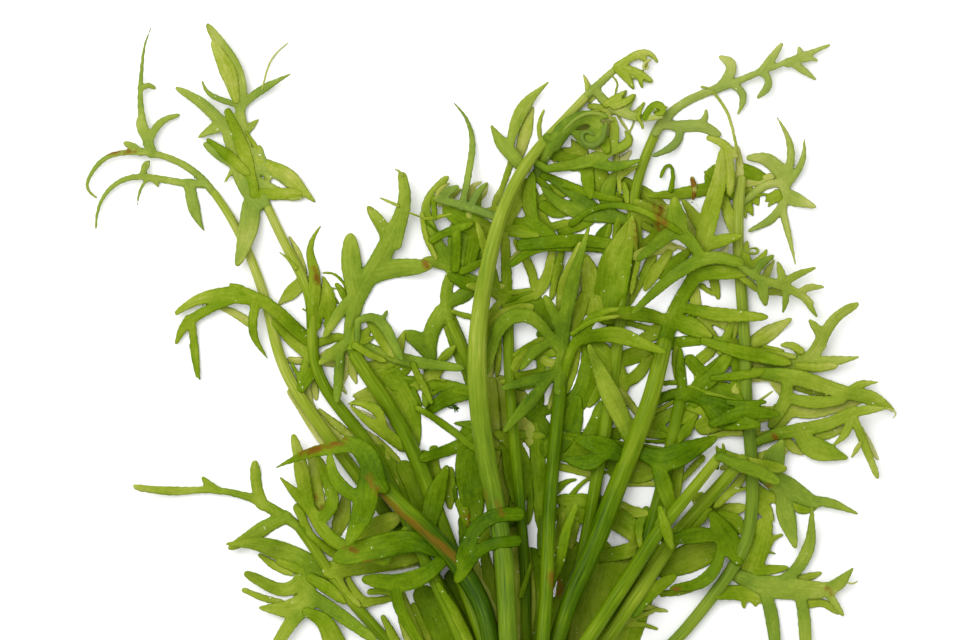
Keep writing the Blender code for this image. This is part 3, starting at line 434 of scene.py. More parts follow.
# %% Small lobes
LOBES = {
    "arch_blade": (
        (6, 8, 1, (143, 172), (146, 165), (150, 160)),
        (6, 8, 7, (140, 152), (134, 147), (127, 144)),
        (5, 6, 4, (141, 88), (149, 85), (155, 88)),
        (5, 7, 2, (146, 140), (140, 130), (137, 118)),
        (5, 6, 1, (150, 178), (157, 182), (158, 188)),
    ),
    "tall_blade": (
        (8, 14, 3, (240, 116), (226, 122), (210, 130), (199, 137)),
        (6, 10, 5, (241, 110), (243, 88), (235, 68), (229, 58)),
        (6, 8, 1, (245, 134), (252, 125), (259, 119)),
        (4, 5, 2, (240, 150), (234, 168), (224, 183)),
        (10, 12, 3, (258, 150), (262, 165), (270, 180)),
        (12, 12, 5, (248, 205), (243, 236), (237, 263)),
    ),
    "hand_blade": (
        (14, 21, 17, (354, 290), (351, 262), (350, 244)),
        (12, 13, 3, (396, 244), (403, 212), (405, 190), (402, 174)),
        (10, 14, 12, (366, 282), (390, 271), (420, 268)),
        (11, 11, 6, (388, 238), (380, 220), (370, 209)),
        (5, 9, 10, (404, 175), (407, 192), (405, 212)),
    ),
    "mid_left_blade": (
        (12, 13, 12, (440, 311), (431, 326), (427, 344)),
        (12, 14, 8, (430, 352), (419, 337), (408, 333)),
        (6, 5, 3, (440, 186), (446, 181), (448, 177)),
    ),
    "upper_right_blade": (
        (3, 6, 3, (798, 66), (801, 57), (799, 48)),
        (3, 5, 2, (804, 61), (812, 58), (818, 61)),
        (9, 6, 2, (788, 63), (806, 55), (829, 45)),
        (6, 5, 3, (803, 58), (801, 53), (799, 48)),
        (9, 8, 3, (728, 77), (734, 67), (731, 59), (721, 57)),
        (4, 5, 3, (765, 71), (771, 81), (769, 91), (759, 97)),
    ),
    "fiddle_blade": (
        (6, 12, 12, (529, 190), (544, 157), (566, 124)),
        (12, 10, 8, (560, 130), (580, 114), (604, 116)),
    ),
    "far_right_blade": (
        (10, 12, 5, (784, 170), (766, 157), (749, 157)),
    ),
    "left_wing_blade": (
        (10, 11, 5, (240, 290), (212, 294), (192, 301), (177, 312)),
        (5, 6, 3, (187, 318), (180, 330), (177, 342)),
        (3, 4, 2, (191, 345), (194, 362), (197, 378)),
    ),
    "low_left_blade": (
        (5, 9, 4, (206, 489), (180, 491), (156, 490), (134, 486)),
    ),
}
print("small lobes", sum(len(rows) for rows in LOBES.values()))

# %% [markdown]
# Leaves that fill the dense middle are sheets of their own, and ride with the stalk or blade under whose name they
# stand. Each row is an order in the pile, a shade from nought, dark, to one, pale, then the leaf's straps. The darkest
# are partly painted shade deep in the pile between the stalks, and some of the palest are painted highlights along wet
# stalks. Scattering leaves by chance would be shorter, but the gaps between them would not lie where they do on this
# plant.

# %% Filling leaves
FILLS = {
    "tall_stalk": (
        (39, 0.3, (15, 12, 1, (314, 324), (313, 305), (315, 285), (315, 270), (308, 252), (312, 238), (321, 225))),
        (33, 0.65, (5, 7, 2, (305, 272), (298, 252), (289, 236))),
        (35, 0.4, (5, 3, 1, (296, 268), (288, 258), (279, 252))),
        (33, 0.55, (12, 15, 3, (304, 280), (293, 291), (279, 304))),
        (39, 0.3, (10, 13, 3, (329, 326), (331, 305), (329, 290), (323, 277)),
            (8, 8, 3, (318, 322), (322, 302), (323, 284))),
        (33, 0.75, (7, 8, 7, (290, 360), (298, 361), (306, 360))),
        (35, 0.3, (10, 12, 8, (301, 388), (309, 376), (318, 364))),
        (35, 0.8, (6, 17, 12, (318, 360), (332, 355), (347, 351)), (8, 12, 8, (346, 352), (336, 362), (322, 362))),
        (37, 0.4, (10, 13, 12, (276, 322), (292, 340), (310, 356)), (4, 8, 10, (300, 382), (303, 372), (307, 360)),
            (4, 4, 6, (292, 364), (297, 374), (302, 384))),
        (33, 0.8, (8, 8, 10, (306, 384), (311, 410), (340, 440)), (8, 8, 8, (291, 392), (305, 415), (322, 442))),
        (30, 0.6, (3, 8, 10, (214, 306), (232, 311), (251, 324))),
        (38, 0.4, (8, 19, 3, (258, 160), (286, 175), (314, 201))),
        (39, 0.3, (10, 13, 10, (254, 194), (276, 194), (298, 193))),
        (41, 0.25, (8, 15, 9, (228, 112), (243, 148), (256, 196))),
        (43, 0.3, (3, 5, 2, (246, 132), (256, 147), (263, 161))),
        (42, 0.25, (4, 12, 10, (208, 140), (224, 152), (246, 172))),
        (40, 0.45, (8, 18, 8, (236, 100), (230, 74), (214, 44))),
        (31, 0.7, (5, 9, 9, (320, 411), (335, 424), (352, 437)), (5, 8, 6, (313, 381), (315, 389), (316, 398))),
    ),
    "hand_stalk": (
        (43, 0.5, (6, 12, 3, (350, 348), (362, 337), (372, 326)), (6, 10, 3, (352, 345), (363, 341), (374, 337)),
            (8, 9, 5, (353, 345), (356, 331), (359, 319))),
        (37, 0.4, (8, 10, 6, (310, 347), (325, 340), (340, 336), (354, 340))),
        (39, 0.95, (14, 11, 3, (349, 352), (345, 370), (338, 386), (337, 402)),
            (4, 4, 3, (338, 388), (343, 388), (346, 393))),
        (38, 0.75, (4, 10, 3, (350, 358), (352, 370), (356, 383))),
        (36, 0.7, (10, 12, 5, (388, 392), (372, 391), (355, 396)), (12, 12, 1, (390, 402), (370, 400), (347, 404))),
        (36, 1.3, (14, 15, 2, (408, 438), (385, 430), (366, 417), (350, 406))),
        (36, 0.55, (8, 12, 9, (360, 366), (378, 366), (397, 362))),
        (35, 0.55, (12, 20, 12, (376, 376), (395, 382), (415, 386)), (8, 10, 4, (380, 372), (390, 370), (402, 366))),
        (39, 0.85, (8, 8, 8, (402, 486), (388, 462), (380, 444), (370, 435), (358, 430))),
        (39, 0.2, (2, 2, 2, (380, 373), (387, 366), (396, 357))),
        (36, 0.6, (3, 6, 2, (438, 200), (436, 194), (443, 187), (450, 183)),
            (6, 7, 2, (440, 204), (446, 195), (458, 187)), (5, 6, 2, (450, 200), (454, 194), (462, 189))),
        (41, 0.55, (4, 5, 3, (424, 219), (437, 217), (452, 214))),
        (41, 0.15, (3, 3, 2, (426, 222), (434, 229), (444, 235))),
        (43, 0.3, (8, 9, 8, (432, 240), (444, 233), (456, 229), (470, 224)),
            (10, 10, 10, (455, 268), (457, 250), (456, 232))),
        (39, 0.55, (10, 11, 4, (398, 358), (399, 346), (404, 333))),
        (42, 0.55, (4, 6, 6, (451, 311), (462, 315), (475, 318))),
        (42, 0.65, (5, 11, 4, (438, 362), (447, 355), (455, 346))),
        (43, 0.5, (6, 9, 6, (413, 364), (418, 376), (426, 391), (431, 402))),
        (41, 0.7, (9, 13, 6, (424, 379), (434, 373), (445, 366)), (3, 3, 2, (438, 379), (442, 380), (447, 381))),
        (40, 0.4, (9, 13, 12, (408, 380), (430, 384), (450, 386), (470, 392))),
        (38, 0.3, (10, 18, 16, (430, 410), (443, 400), (456, 393), (470, 393))),
        (44, 0.55, (6, 8, 7, (417, 408), (430, 415), (446, 426), (462, 438), (478, 452))),
        (41, 0.45, (16, 22, 8, (428, 528), (435, 496), (446, 469))),
        (42, 0.45, (10, 13, 12, (424, 458), (446, 451), (470, 441), (486, 430))),
        (43, 0.7, (10, 12, 6, (460, 503), (465, 514), (467, 527))),
        (39, 0.3, (3, 2, 3, (323, 284), (331, 291), (338, 303)),
            (3, 3, 2, (347, 288), (341, 279), (332, 272), (322, 273)), (3, 2, 2, (345, 290), (337, 288), (329, 289))),
        (43, 0.6, (3, 3, 1, (398, 206), (388, 201), (377, 197)), (2, 2, 2, (409, 213), (416, 215), (424, 219)),
            (2, 2, 1, (403, 176), (400, 171), (395, 169))),
        (39, 0.5, (24, 26, 14, (395, 384), (406, 404), (415, 440)), (8, 12, 8, (375, 440), (393, 466), (409, 502))),
        (44, 0.5, (8, 8, 6, (355, 345), (368, 354), (384, 361)), (8, 12, 10, (369, 320), (380, 336), (391, 353))),
        (37, 0.35, (5, 6, 5, (413, 388), (416, 396), (420, 404)), (3, 5, 4, (428, 398), (434, 393), (440, 390))),
        (36, 0.8, (5, 7, 6, (376, 438), (387, 449), (399, 461))),
        (38, 0.3, (5, 8, 6, (337, 285), (342, 291), (346, 301))),
        (37, 0.35, (3, 5, 4, (453, 474), (455, 487), (456, 502))),
    ),
    "straight_stalk": (
        (23, 0.3, (16, 24, 10, (450, 210), (466, 222), (492, 228)), (12, 14, 8, (470, 262), (475, 243), (474, 226)),
            (10, 10, 6, (493, 246), (487, 234), (480, 222))),
        (28, 0.7, (6, 7, 3, (467, 204), (468, 193), (472, 186), (481, 182)),
            (8, 8, 3, (474, 208), (478, 196), (485, 194), (487, 183)), (9, 9, 4, (470, 215), (471, 202), (474, 190))),
        (23, 0.25, (10, 15, 12, (452, 276), (466, 284), (482, 286))),
        (28, 0.6, (5, 6, 2, (493, 210), (496, 197), (505, 183)), (4, 5, 4, (482, 211), (494, 209), (507, 206))),
        (27, 0.7, (4, 5, 5, (511, 260), (518, 252), (533, 247))),
        (27, 0.75, (9, 9, 6, (488, 285), (496, 287), (503, 286))),
        (27, 0.3, (3, 4, 4, (503, 304), (514, 299), (532, 291))),
        (27, 0.15, (2, 2, 1, (449, 404), (455, 407), (458, 413)), (1, 2, 1, (453, 406), (457, 407), (461, 409))),
        (27, 0.5, (14, 8, 1, (482, 428), (466, 424), (452, 423))),
        (26, 0.6, (12, 20, 12, (486, 344), (493, 326), (508, 314), (528, 308))),
        (23, 0.95, (12, 11, 6, (486, 386), (490, 364), (494, 344))),
        (29, 0.65, (8, 13, 10, (513, 372), (520, 358), (534, 351)), (5, 7, 8, (502, 382), (516, 380), (534, 374))),
        (30, 0.2, (8, 9, 8, (540, 174), (560, 182), (590, 194), (620, 200))),
        (23, 0.4, (14, 20, 12, (528, 185), (536, 215), (552, 240)), (12, 20, 10, (545, 200), (556, 190), (572, 188)),
            (8, 9, 7, (548, 228), (562, 224), (580, 222))),
        (28, 0.15, (12, 14, 12, (522, 245), (552, 242), (582, 240), (612, 244))),
        (26, 0.45, (7, 8, 7, (562, 250), (557, 270), (552, 296)), (2, 2, 1, (562, 260), (563, 270), (557, 279))),
        (26, 1.3, (10, 14, 16, (560, 306), (573, 290), (584, 278))),
        (24, 0.3, (14, 22, 14, (530, 300), (545, 310), (556, 330)), (8, 12, 10, (540, 334), (548, 329), (558, 322))),
        (24, 0.5, (10, 10, 9, (524, 356), (540, 354), (562, 352)), (14, 14, 10, (520, 384), (540, 380), (560, 368)),
            (10, 9, 8, (541, 354), (541, 372), (542, 392))),
        (25, 0.3, (12, 14, 10, (552, 440), (540, 420), (522, 408)), (10, 10, 8, (560, 412), (552, 408), (536, 414)),
            (10, 10, 10, (538, 410), (540, 396), (538, 380))),
        (27, 0.4, (22, 24, 16, (566, 412), (586, 392), (592, 360), (588, 340)),
            (12, 10, 10, (560, 396), (562, 372), (568, 346))),
        (27, 0.35, (24, 26, 16, (552, 448), (570, 428), (576, 404)), (12, 14, 10, (582, 444), (594, 428), (600, 406)),
            (12, 14, 12, (588, 440), (608, 436), (624, 432))),
        (23, 0.5, (26, 30, 22, (472, 436), (469, 470), (474, 512)), (8, 12, 12, (462, 520), (465, 545), (468, 575))),
        (22, 0.85, (20, 24, 20, (508, 400), (512, 450), (507, 490), (512, 545)),
            (20, 24, 18, (500, 385), (520, 400), (532, 440))),
        (27, 0.55, (6, 6, 6, (509, 293), (520, 292), (534, 290)), (8, 8, 6, (487, 322), (494, 310), (502, 299)),
            (6, 8, 8, (515, 355), (528, 347), (546, 338)), (8, 8, 6, (517, 376), (530, 374), (542, 370))),
        (24, 0.8, (14, 13, 8, (491, 384), (493, 412), (497, 442)), (10, 10, 8, (544, 360), (550, 364), (558, 362)),
            (5, 5, 5, (556, 384), (553, 394), (549, 408)), (8, 8, 6, (495, 436), (497, 448), (497, 463))),
        (26, 0.25, (6, 8, 8, (535, 177), (543, 183), (551, 194)), (12, 13, 8, (544, 206), (554, 212), (565, 214)),
            (8, 10, 8, (561, 232), (576, 228), (592, 221)), (4, 6, 5, (604, 243), (609, 232), (610, 223))),
    ),
    "thick_stalk": (
        (87, 0.35, (8, 8, 3, (618, 66), (633, 56), (647, 50), (655, 55), (657, 62)),
            (6, 5, 2, (634, 56), (645, 58), (648, 65), (644, 70)), (10, 9, 4, (618, 68), (627, 78), (633, 87)),
            (8, 8, 4, (622, 68), (638, 72), (652, 81)), (5, 6, 3, (634, 70), (640, 78), (642, 87))),
        (88, 0.4, (8, 9, 2, (606, 104), (616, 99), (625, 91)), (8, 8, 4, (614, 106), (626, 102), (634, 95)),
            (4, 4, 2, (638, 117), (641, 110), (642, 104)), (3, 4, 2, (638, 118), (642, 124), (643, 130))),
        (81, 0.55, (7, 5, 1, (589, 92), (587, 83), (583, 73)), (6, 4, 1, (590, 100), (595, 96), (599, 93))),
        (87, 0.1, (7, 8, 5, (645, 117), (650, 106), (658, 102), (665, 107), (664, 116), (657, 114))),
        (85, 0.5, (10, 20, 14, (582, 122), (587, 136), (598, 146))),
        (86, 0.15, (6, 7, 12, (560, 138), (573, 123), (586, 117), (597, 122), (603, 136), (606, 147))),
        (84, 0.6, (8, 9, 5, (594, 108), (603, 124), (609, 138)),
            (6, 6, 7, (608, 112), (613, 130), (617, 150), (616, 166)), (3, 3, 2, (618, 116), (624, 125), (629, 133))),
        (83, 0.45, (3, 10, 7, (628, 132), (630, 140), (621, 151)), (2, 2, 2, (635, 118), (632, 127), (629, 133))),
        (79, 0.35, (12, 9, 1, (583, 153), (577, 148), (571, 139)), (8, 8, 5, (580, 153), (570, 151), (562, 150))),
        (79, 0.75, (10, 8, 3, (618, 164), (626, 157), (631, 151)), (3, 3, 2, (552, 158), (555, 163), (557, 168)),
            (3, 3, 2, (558, 158), (563, 163), (568, 168))),
        (90, 0.35, (14, 15, 16, (518, 514), (492, 515), (473, 530), (462, 560)),
            (12, 12, 14, (516, 541), (492, 543), (474, 553), (460, 576))),
        (70, 0.4, (10, 11, 8, (526, 184), (517, 205), (508, 224)), (12, 15, 4, (506, 230), (520, 231), (539, 236)),
            (7, 6, 4, (512, 160), (505, 180), (497, 203))),
        (78, 0.2, (8, 14, 8, (576, 158), (560, 156), (541, 151)), (6, 5, 4, (540, 170), (558, 168), (586, 170)),
            (12, 14, 10, (588, 160), (587, 176), (590, 194))),
        (86, 0.45, (6, 8, 8, (590, 106), (602, 108), (616, 112)),
            (2, 2, 2, (612, 76), (619, 82), (616, 90), (613, 103)), (6, 5, 3, (635, 113), (641, 108), (644, 103)),
            (4, 4, 3, (655, 112), (660, 110), (667, 107))),
        (60, 0.6, (3, 14, 9, (533, 108), (525, 134), (519, 157)), (2, 5, 4, (544, 110), (538, 124), (541, 144))),
    ),
    "upper_right_stalk": (
        (24, 0.3, (14, 20, 12, (598, 170), (606, 186), (612, 202)), (10, 12, 6, (604, 200), (612, 186), (616, 176)),
            (12, 16, 10, (590, 188), (604, 194), (624, 200))),
        (25, 0.3, (10, 15, 12, (626, 182), (643, 193), (662, 206))),
        (24, 0.05, (14, 13, 5, (598, 244), (603, 234), (608, 225))),
        (36, 0.3, (8, 8, 4, (616, 238), (617, 226), (620, 214))),
        (58, 0.15, (7, 7, 7, (572, 224), (588, 210), (612, 204), (640, 209), (662, 221), (680, 232))),
        (40, 0.35, (34, 34, 10, (608, 308), (614, 268), (624, 240), (632, 222))),
        (44, 0.6, (24, 22, 12, (594, 306), (592, 284), (588, 263))),
        (34, 0.65, (10, 12, 10, (636, 256), (650, 250), (672, 248))),
        (25, 0.45, (10, 9, 8, (652, 258), (641, 281), (626, 306)), (7, 8, 8, (634, 286), (624, 300), (612, 312))),
        (30, 0.5, (20, 24, 16, (596, 348), (610, 362), (622, 384)), (10, 13, 10, (616, 386), (636, 378), (650, 358)),
            (10, 12, 8, (610, 330), (618, 320), (626, 306))),
        (34, 0.35, (8, 10, 10, (637, 202), (650, 208), (666, 215)), (10, 12, 10, (635, 214), (650, 218), (665, 224)),
            (10, 10, 8, (663, 221), (655, 236), (641, 247)), (6, 6, 6, (638, 212), (639, 230), (640, 248)),
            (6, 7, 6, (624, 184), (626, 192), (627, 202))),
        (35, 0.5, (8, 12, 10, (669, 253), (658, 268), (647, 286)), (6, 6, 6, (639, 258), (635, 275), (631, 292)),
            (12, 14, 10, (663, 321), (655, 334), (638, 341)), (6, 6, 6, (621, 321), (640, 326), (658, 331))),
        (36, 0.5, (4, 7, 5, (636, 167), (627, 171), (620, 177)), (5, 5, 4, (619, 168), (619, 181), (620, 193))),
        (32, 0.4, (7, 10, 6, (640, 221), (646, 226), (653, 231)), (5, 7, 5, (636, 205), (646, 209), (655, 214))),
    ),
    "centre_stalk": (
        (67, 0.5, (5, 6, 4, (572, 334), (592, 320), (619, 316))),
        (8, 0.5, (16, 16, 12, (536, 430), (539, 480), (541, 524)), (26, 30, 30, (530, 560), (540, 600), (534, 650)),
            (20, 20, 20, (572, 550), (566, 590), (560, 640))),
        (7, 0.85, (22, 24, 22, (520, 552), (525, 600), (520, 650))),
        (62, 0.55, (6, 6, 4, (521, 596), (526, 580), (531, 564))),
        (61, 0.6, (14, 20, 6, (562, 330), (566, 288), (580, 244)), (12, 15, 10, (584, 298), (579, 312), (571, 330))),
        (9, 0.45, (5, 8, 6, (530, 484), (531, 504), (528, 522)), (5, 6, 6, (541, 518), (540, 535), (540, 554))),
        (40, 0.6, (4, 6, 6, (500, 342), (499, 357), (497, 374))),
        (30, 0.55, (6, 9, 8, (497, 448), (512, 434), (542, 436)), (14, 18, 12, (508, 446), (512, 470), (516, 498))),
        (22, 0.6, (5, 9, 5, (579, 347), (574, 368), (567, 392))),
    ),
    "mid_left_stalk": (
        (19, 0.55, (16, 18, 14, (404, 468), (415, 490), (430, 536)), (16, 20, 14, (424, 458), (424, 478), (438, 520))),
        (23, 1.0, (14, 15, 10, (468, 556), (484, 588), (500, 620))),
        (7, 0.45, (24, 30, 28, (456, 580), (476, 606), (492, 650)), (22, 26, 24, (424, 596), (438, 620), (446, 650))),
        (20, 0.5, (8, 10, 10, (446, 322), (453, 342), (463, 366)), (7, 7, 7, (452, 316), (460, 334), (467, 352)),
            (6, 7, 6, (462, 364), (466, 376), (471, 390)), (10, 12, 8, (396, 378), (403, 371), (410, 367))),
        (24, 0.3, (6, 6, 6, (434, 198), (434, 207), (435, 218)), (8, 9, 6, (462, 271), (472, 267), (483, 261))),
        (30, 0.6, (5, 6, 6, (422, 214), (425, 236), (436, 258))),
    ),
    "far_right_stalk": (
        (54, 0.15, (7, 7, 4, (714, 180), (710, 174), (705, 172)), (7, 6, 3, (717, 176), (712, 167))),
        (56, 0.55, (4, 7, 3, (692, 178), (695, 188), (693, 199))),
        (36, 0.1, (6, 3, 4, (671, 190), (673, 180), (674, 169), (670, 161), (665, 164), (662, 171), (661, 177))),
        (54, 0.3, (2, 1, 1, (681, 200), (692, 202), (702, 207))),
        (30, 0.5, (18, 20, 8, (700, 250), (688, 230), (675, 208)), (12, 16, 8, (668, 236), (672, 222), (668, 208))),
        (50, 0.75, (5, 6, 5, (654, 246), (670, 233), (688, 228)), (4, 4, 3, (662, 239), (675, 246), (690, 251))),
        (31, 0.2, (10, 12, 8, (660, 274), (674, 263), (690, 250))),
        (52, 0.45, (10, 13, 12, (724, 200), (730, 218), (737, 236))),
        (52, 0.6, (5, 11, 8, (737, 148), (741, 168), (738, 192), (736, 218))),
        (51, 0.0, (10, 9, 1, (744, 168), (756, 172), (769, 177)), (8, 8, 3, (746, 176), (755, 178), (764, 179))),
        (52, 0.3, (12, 8, 2, (738, 198), (743, 209), (746, 218)), (10, 8, 2, (742, 199), (749, 206), (753, 216)),
            (8, 6, 2, (745, 193), (751, 197), (755, 204)), (8, 7, 2, (750, 190), (757, 196), (758, 206))),
        (60, 0.2, (8, 6, 2, (777, 193), (770, 197), (765, 202)), (8, 5, 2, (779, 198), (772, 202), (768, 207)),
            (3, 3, 3, (757, 196), (764, 194), (772, 196))),
        (56, 0.3, (12, 9, 4, (748, 268), (745, 254), (747, 242)), (12, 8, 2, (755, 266), (763, 257), (767, 249)),
            (10, 6, 2, (760, 266), (768, 260), (774, 258))),
        (34, 1.3, (10, 13, 10, (696, 264), (716, 258), (738, 262)), (8, 9, 3, (716, 262), (722, 254), (728, 246))),
        (50, 0.3, (8, 9, 10, (734, 318), (728, 334), (721, 350)), (8, 12, 5, (700, 338), (740, 345), (782, 351))),
        (46, 0.2, (12, 12, 10, (652, 350), (676, 342), (704, 340))),
        (49, 0.65, (12, 17, 16, (740, 352), (768, 366), (787, 394)), (10, 9, 8, (736, 390), (746, 378), (770, 377))),
        (42, 0.2, (18, 18, 14, (690, 402), (706, 378), (732, 354)), (12, 15, 14, (708, 387), (730, 390), (740, 404)),
            (14, 14, 12, (738, 354), (739, 370), (736, 390)), (12, 14, 12, (690, 360), (700, 372), (716, 380))),
        (40, 0.3, (10, 12, 10, (652, 400), (680, 393), (704, 388)), (5, 5, 5, (658, 383), (670, 383), (684, 381))),
        (43, 0.45, (26, 26, 20, (690, 398), (720, 408), (756, 414)),
            (18, 20, 10, (704, 426), (726, 419), (756, 414), (790, 413)),
            (12, 12, 7, (746, 414), (756, 426), (755, 440))),
        (52, 0.6, (8, 10, 8, (748, 438), (775, 434), (802, 427))),
        (58, 0.65, (12, 12, 6, (782, 450), (752, 462), (722, 468))),
        (39, 0.5, (18, 20, 12, (640, 452), (672, 459), (700, 446)), (22, 24, 20, (674, 462), (670, 490), (662, 524)),
            (14, 10, 6, (660, 420), (672, 412), (686, 404)), (8, 7, 6, (650, 424), (660, 427), (672, 432))),
        (50, 0.35, (4, 5, 4, (717, 468), (719, 456), (717, 447)), (4, 4, 3, (726, 468), (725, 456), (723, 444))),
        (30, 0.5, (16, 14, 12, (700, 500), (716, 512), (740, 508))),
        (58, 0.4, (3, 3, 3, (713, 92), (722, 102), (729, 115), (733, 130), (737, 150)),
            (6, 9, 7, (709, 138), (722, 142), (735, 155)), (8, 9, 8, (728, 152), (731, 170), (730, 192))),
        (55, 0.45, (8, 10, 8, (744, 184), (756, 182), (773, 176)), (7, 8, 3, (764, 282), (768, 270), (774, 261)),
            (6, 8, 6, (741, 277), (750, 283), (759, 291)), (8, 8, 6, (763, 292), (776, 291), (787, 294)),
            (2, 2, 1, (748, 250), (754, 247), (759, 251), (756, 256))),
        (44, 0.45, (18, 17, 12, (704, 314), (720, 318), (729, 327)), (6, 8, 8, (699, 316), (708, 328), (717, 341)),
            (5, 6, 5, (738, 318), (736, 330), (732, 342)), (12, 12, 8, (701, 359), (710, 352), (717, 343)),
            (14, 18, 10, (619, 361), (632, 356), (648, 352)), (6, 6, 6, (676, 348), (674, 362), (678, 382)),
            (5, 5, 4, (697, 384), (696, 374), (694, 364))),
        (60, 0.35, (6, 8, 6, (750, 350), (776, 354), (794, 357)), (8, 8, 5, (801, 351), (792, 345), (783, 345)),
            (8, 10, 8, (798, 366), (815, 368), (834, 366)), (5, 6, 5, (794, 387), (808, 392), (828, 394))),
        (60, 0.45, (12, 14, 10, (778, 409), (812, 413), (858, 401)), (10, 12, 8, (797, 405), (785, 417), (775, 431)),
            (10, 9, 6, (814, 437), (832, 434), (845, 427)), (10, 11, 6, (784, 438), (793, 448), (802, 453))),
        (42, 0.5, (6, 7, 6, (710, 437), (728, 432), (746, 434)), (7, 7, 5, (702, 458), (690, 471), (680, 482)),
            (8, 9, 8, (745, 474), (732, 490), (717, 505)), (4, 3, 2, (746, 488), (734, 492), (722, 501))),
        (62, 0.35, (8, 12, 10, (757, 487), (766, 496), (779, 500)), (16, 14, 8, (760, 504), (766, 511), (771, 518)),
            (20, 27, 18, (763, 528), (756, 550), (748, 574)), (12, 10, 6, (756, 570), (770, 570), (786, 568)),
            (6, 6, 3, (767, 550), (772, 538), (782, 535)), (2, 2, 1, (768, 552), (773, 553), (778, 554))),
        (45, 0.35, (8, 10, 8, (792, 505), (802, 510), (813, 508)), (6, 8, 8, (693, 529), (702, 520), (709, 511)),
            (10, 14, 10, (722, 515), (736, 520), (743, 532))),
        (31, 0.4, (20, 30, 24, (718, 549), (694, 556), (666, 568)), (6, 8, 6, (662, 594), (680, 592), (702, 585))),
        (58, 0.4, (14, 16, 14, (720, 593), (740, 592), (764, 598)), (7, 6, 5, (744, 594), (744, 600), (744, 606)),
            (8, 7, 6, (755, 594), (755, 599), (755, 604)), (8, 8, 4, (800, 579), (812, 576), (821, 573)),
            (10, 8, 8, (806, 604), (824, 602), (836, 611))),
        (66, 0.45, (2, 6, 4, (852, 457), (857, 449), (861, 442))),
        (68, 0.25, (8, 15, 10, (704, 341), (740, 352), (786, 362)), (6, 10, 8, (712, 378), (740, 376), (762, 372))),
        (69, 0.1, (8, 18, 8, (712, 424), (742, 412), (776, 414)), (6, 7, 5, (728, 402), (746, 404), (764, 402))),
        (67, 0.35, (8, 14, 12, (720, 452), (746, 464), (780, 468))),
        (40, 0.35, (6, 12, 8, (696, 416), (687, 429), (678, 441)), (3, 5, 4, (645, 441), (664, 442), (690, 434))),
        (54, 0.6, (4, 8, 3, (861, 428), (871, 449), (878, 459))),
    ),
    "broad_stalk": (
        (54, 0.65, (10, 12, 10, (694, 286), (695, 300), (697, 314))),
        (53, 0.4, (10, 9, 6, (714, 280), (716, 290), (718, 297)), (6, 5, 2, (702, 286), (708, 291), (713, 295))),
        (40, 0.5, (30, 30, 24, (558, 446), (600, 452), (646, 458)), (20, 22, 20, (616, 468), (638, 474), (660, 466))),
        (41, 0.55, (10, 6, 2, (556, 490), (565, 482), (577, 479)),
            (7, 4, 4, (567, 502), (578, 486), (590, 477), (606, 472))),
        (28, 0.55, (12, 14, 12, (562, 500), (582, 500), (606, 502)), (14, 16, 14, (558, 514), (578, 514), (604, 524))),
        (30, 0.5, (20, 24, 18, (598, 506), (622, 522), (646, 540)), (14, 16, 12, (600, 556), (628, 552), (652, 538))),
        (49, 0.45, (8, 10, 6, (646, 510), (638, 526), (640, 546))),
        (46, 0.75, (8, 8, 8, (556, 466), (575, 470), (594, 475)), (6, 7, 6, (625, 484), (640, 483), (657, 484)),
            (12, 12, 10, (619, 506), (632, 512), (644, 513)), (8, 8, 8, (577, 520), (574, 532), (571, 546)),
            (8, 8, 8, (562, 516), (559, 532), (556, 550)), (8, 8, 6, (621, 392), (632, 406), (641, 418))),
        (45, 0.5, (12, 12, 10, (645, 432), (658, 433), (670, 434)), (12, 12, 10, (681, 419), (690, 413), (698, 408)),
            (6, 5, 4, (655, 412), (666, 406), (674, 401)), (10, 10, 8, (600, 388), (596, 396), (590, 404))),
    ),
    "pale_stalk": (
        (74, 0.45, (6, 12, 8, (660, 508), (665, 526), (671, 546))),
    ),
    "slant_stalk": (
        (9, 0.6, (20, 26, 26, (602, 550), (588, 600), (578, 650)), (26, 30, 30, (628, 556), (612, 590), (602, 650))),
        (11, 0.4, (24, 30, 30, (650, 552), (640, 592), (622, 650)), (12, 12, 12, (646, 594), (634, 618), (630, 650))),
        (33, 0.35, (12, 15, 10, (634, 612), (650, 592), (672, 578))),
        (13, 0.7, (9, 7, 3, (630, 606), (644, 606), (658, 610), (667, 611)),
            (5, 4, 2, (640, 606), (647, 601), (652, 597))),
        (14, 0.6, (7, 6, 3, (630, 618), (642, 615), (651, 612), (658, 608)),
            (8, 5, 3, (628, 624), (642, 624), (657, 629))),
    ),
    "striped_stalk": (
        (49, 0.6, (6, 11, 11, (438, 584), (454, 610), (472, 648))),
        (43, 0.65, (12, 11, 14, (313, 456), (316, 480), (320, 508)), (8, 18, 10, (346, 496), (343, 516), (334, 538)),
            (10, 22, 22, (360, 540), (376, 528), (390, 521))),
        (43, 0.6, (18, 20, 14, (331, 570), (370, 564), (414, 558)), (8, 7, 8, (336, 572), (345, 590), (358, 604)),
            (6, 8, 6, (370, 592), (384, 590), (396, 596)), (5, 10, 12, (383, 617), (390, 630), (400, 652))),
        (30, 0.65, (7, 8, 8, (414, 606), (421, 622), (431, 645)), (10, 10, 10, (434, 450), (434, 465), (440, 482)),
            (9, 12, 9, (450, 471), (450, 486), (450, 504)), (8, 14, 16, (484, 550), (488, 572), (495, 600)),
            (10, 12, 8, (477, 546), (484, 538), (491, 529))),
        (28, 0.95, (3, 5, 3, (377, 571), (396, 568), (417, 565))),
        (29, 0.6, (5, 9, 8, (346, 574), (353, 590), (366, 604)), (10, 8, 7, (364, 602), (377, 601), (392, 598))),
    ),
    "low_left_stalk": (
        (16, 0.75, (12, 20, 20, (400, 596), (407, 618), (418, 650))),
        (16, 0.45, (10, 7, 10, (298, 508), (310, 536), (337, 556)), (8, 10, 10, (280, 562), (290, 566), (302, 571)),
            (10, 14, 8, (311, 578), (328, 588), (343, 601)), (10, 18, 26, (307, 612), (325, 620), (338, 650))),
        (13, 0.5, (4, 9, 8, (260, 555), (273, 565), (290, 573)), (5, 7, 6, (244, 590), (262, 598), (284, 603))),
    ),
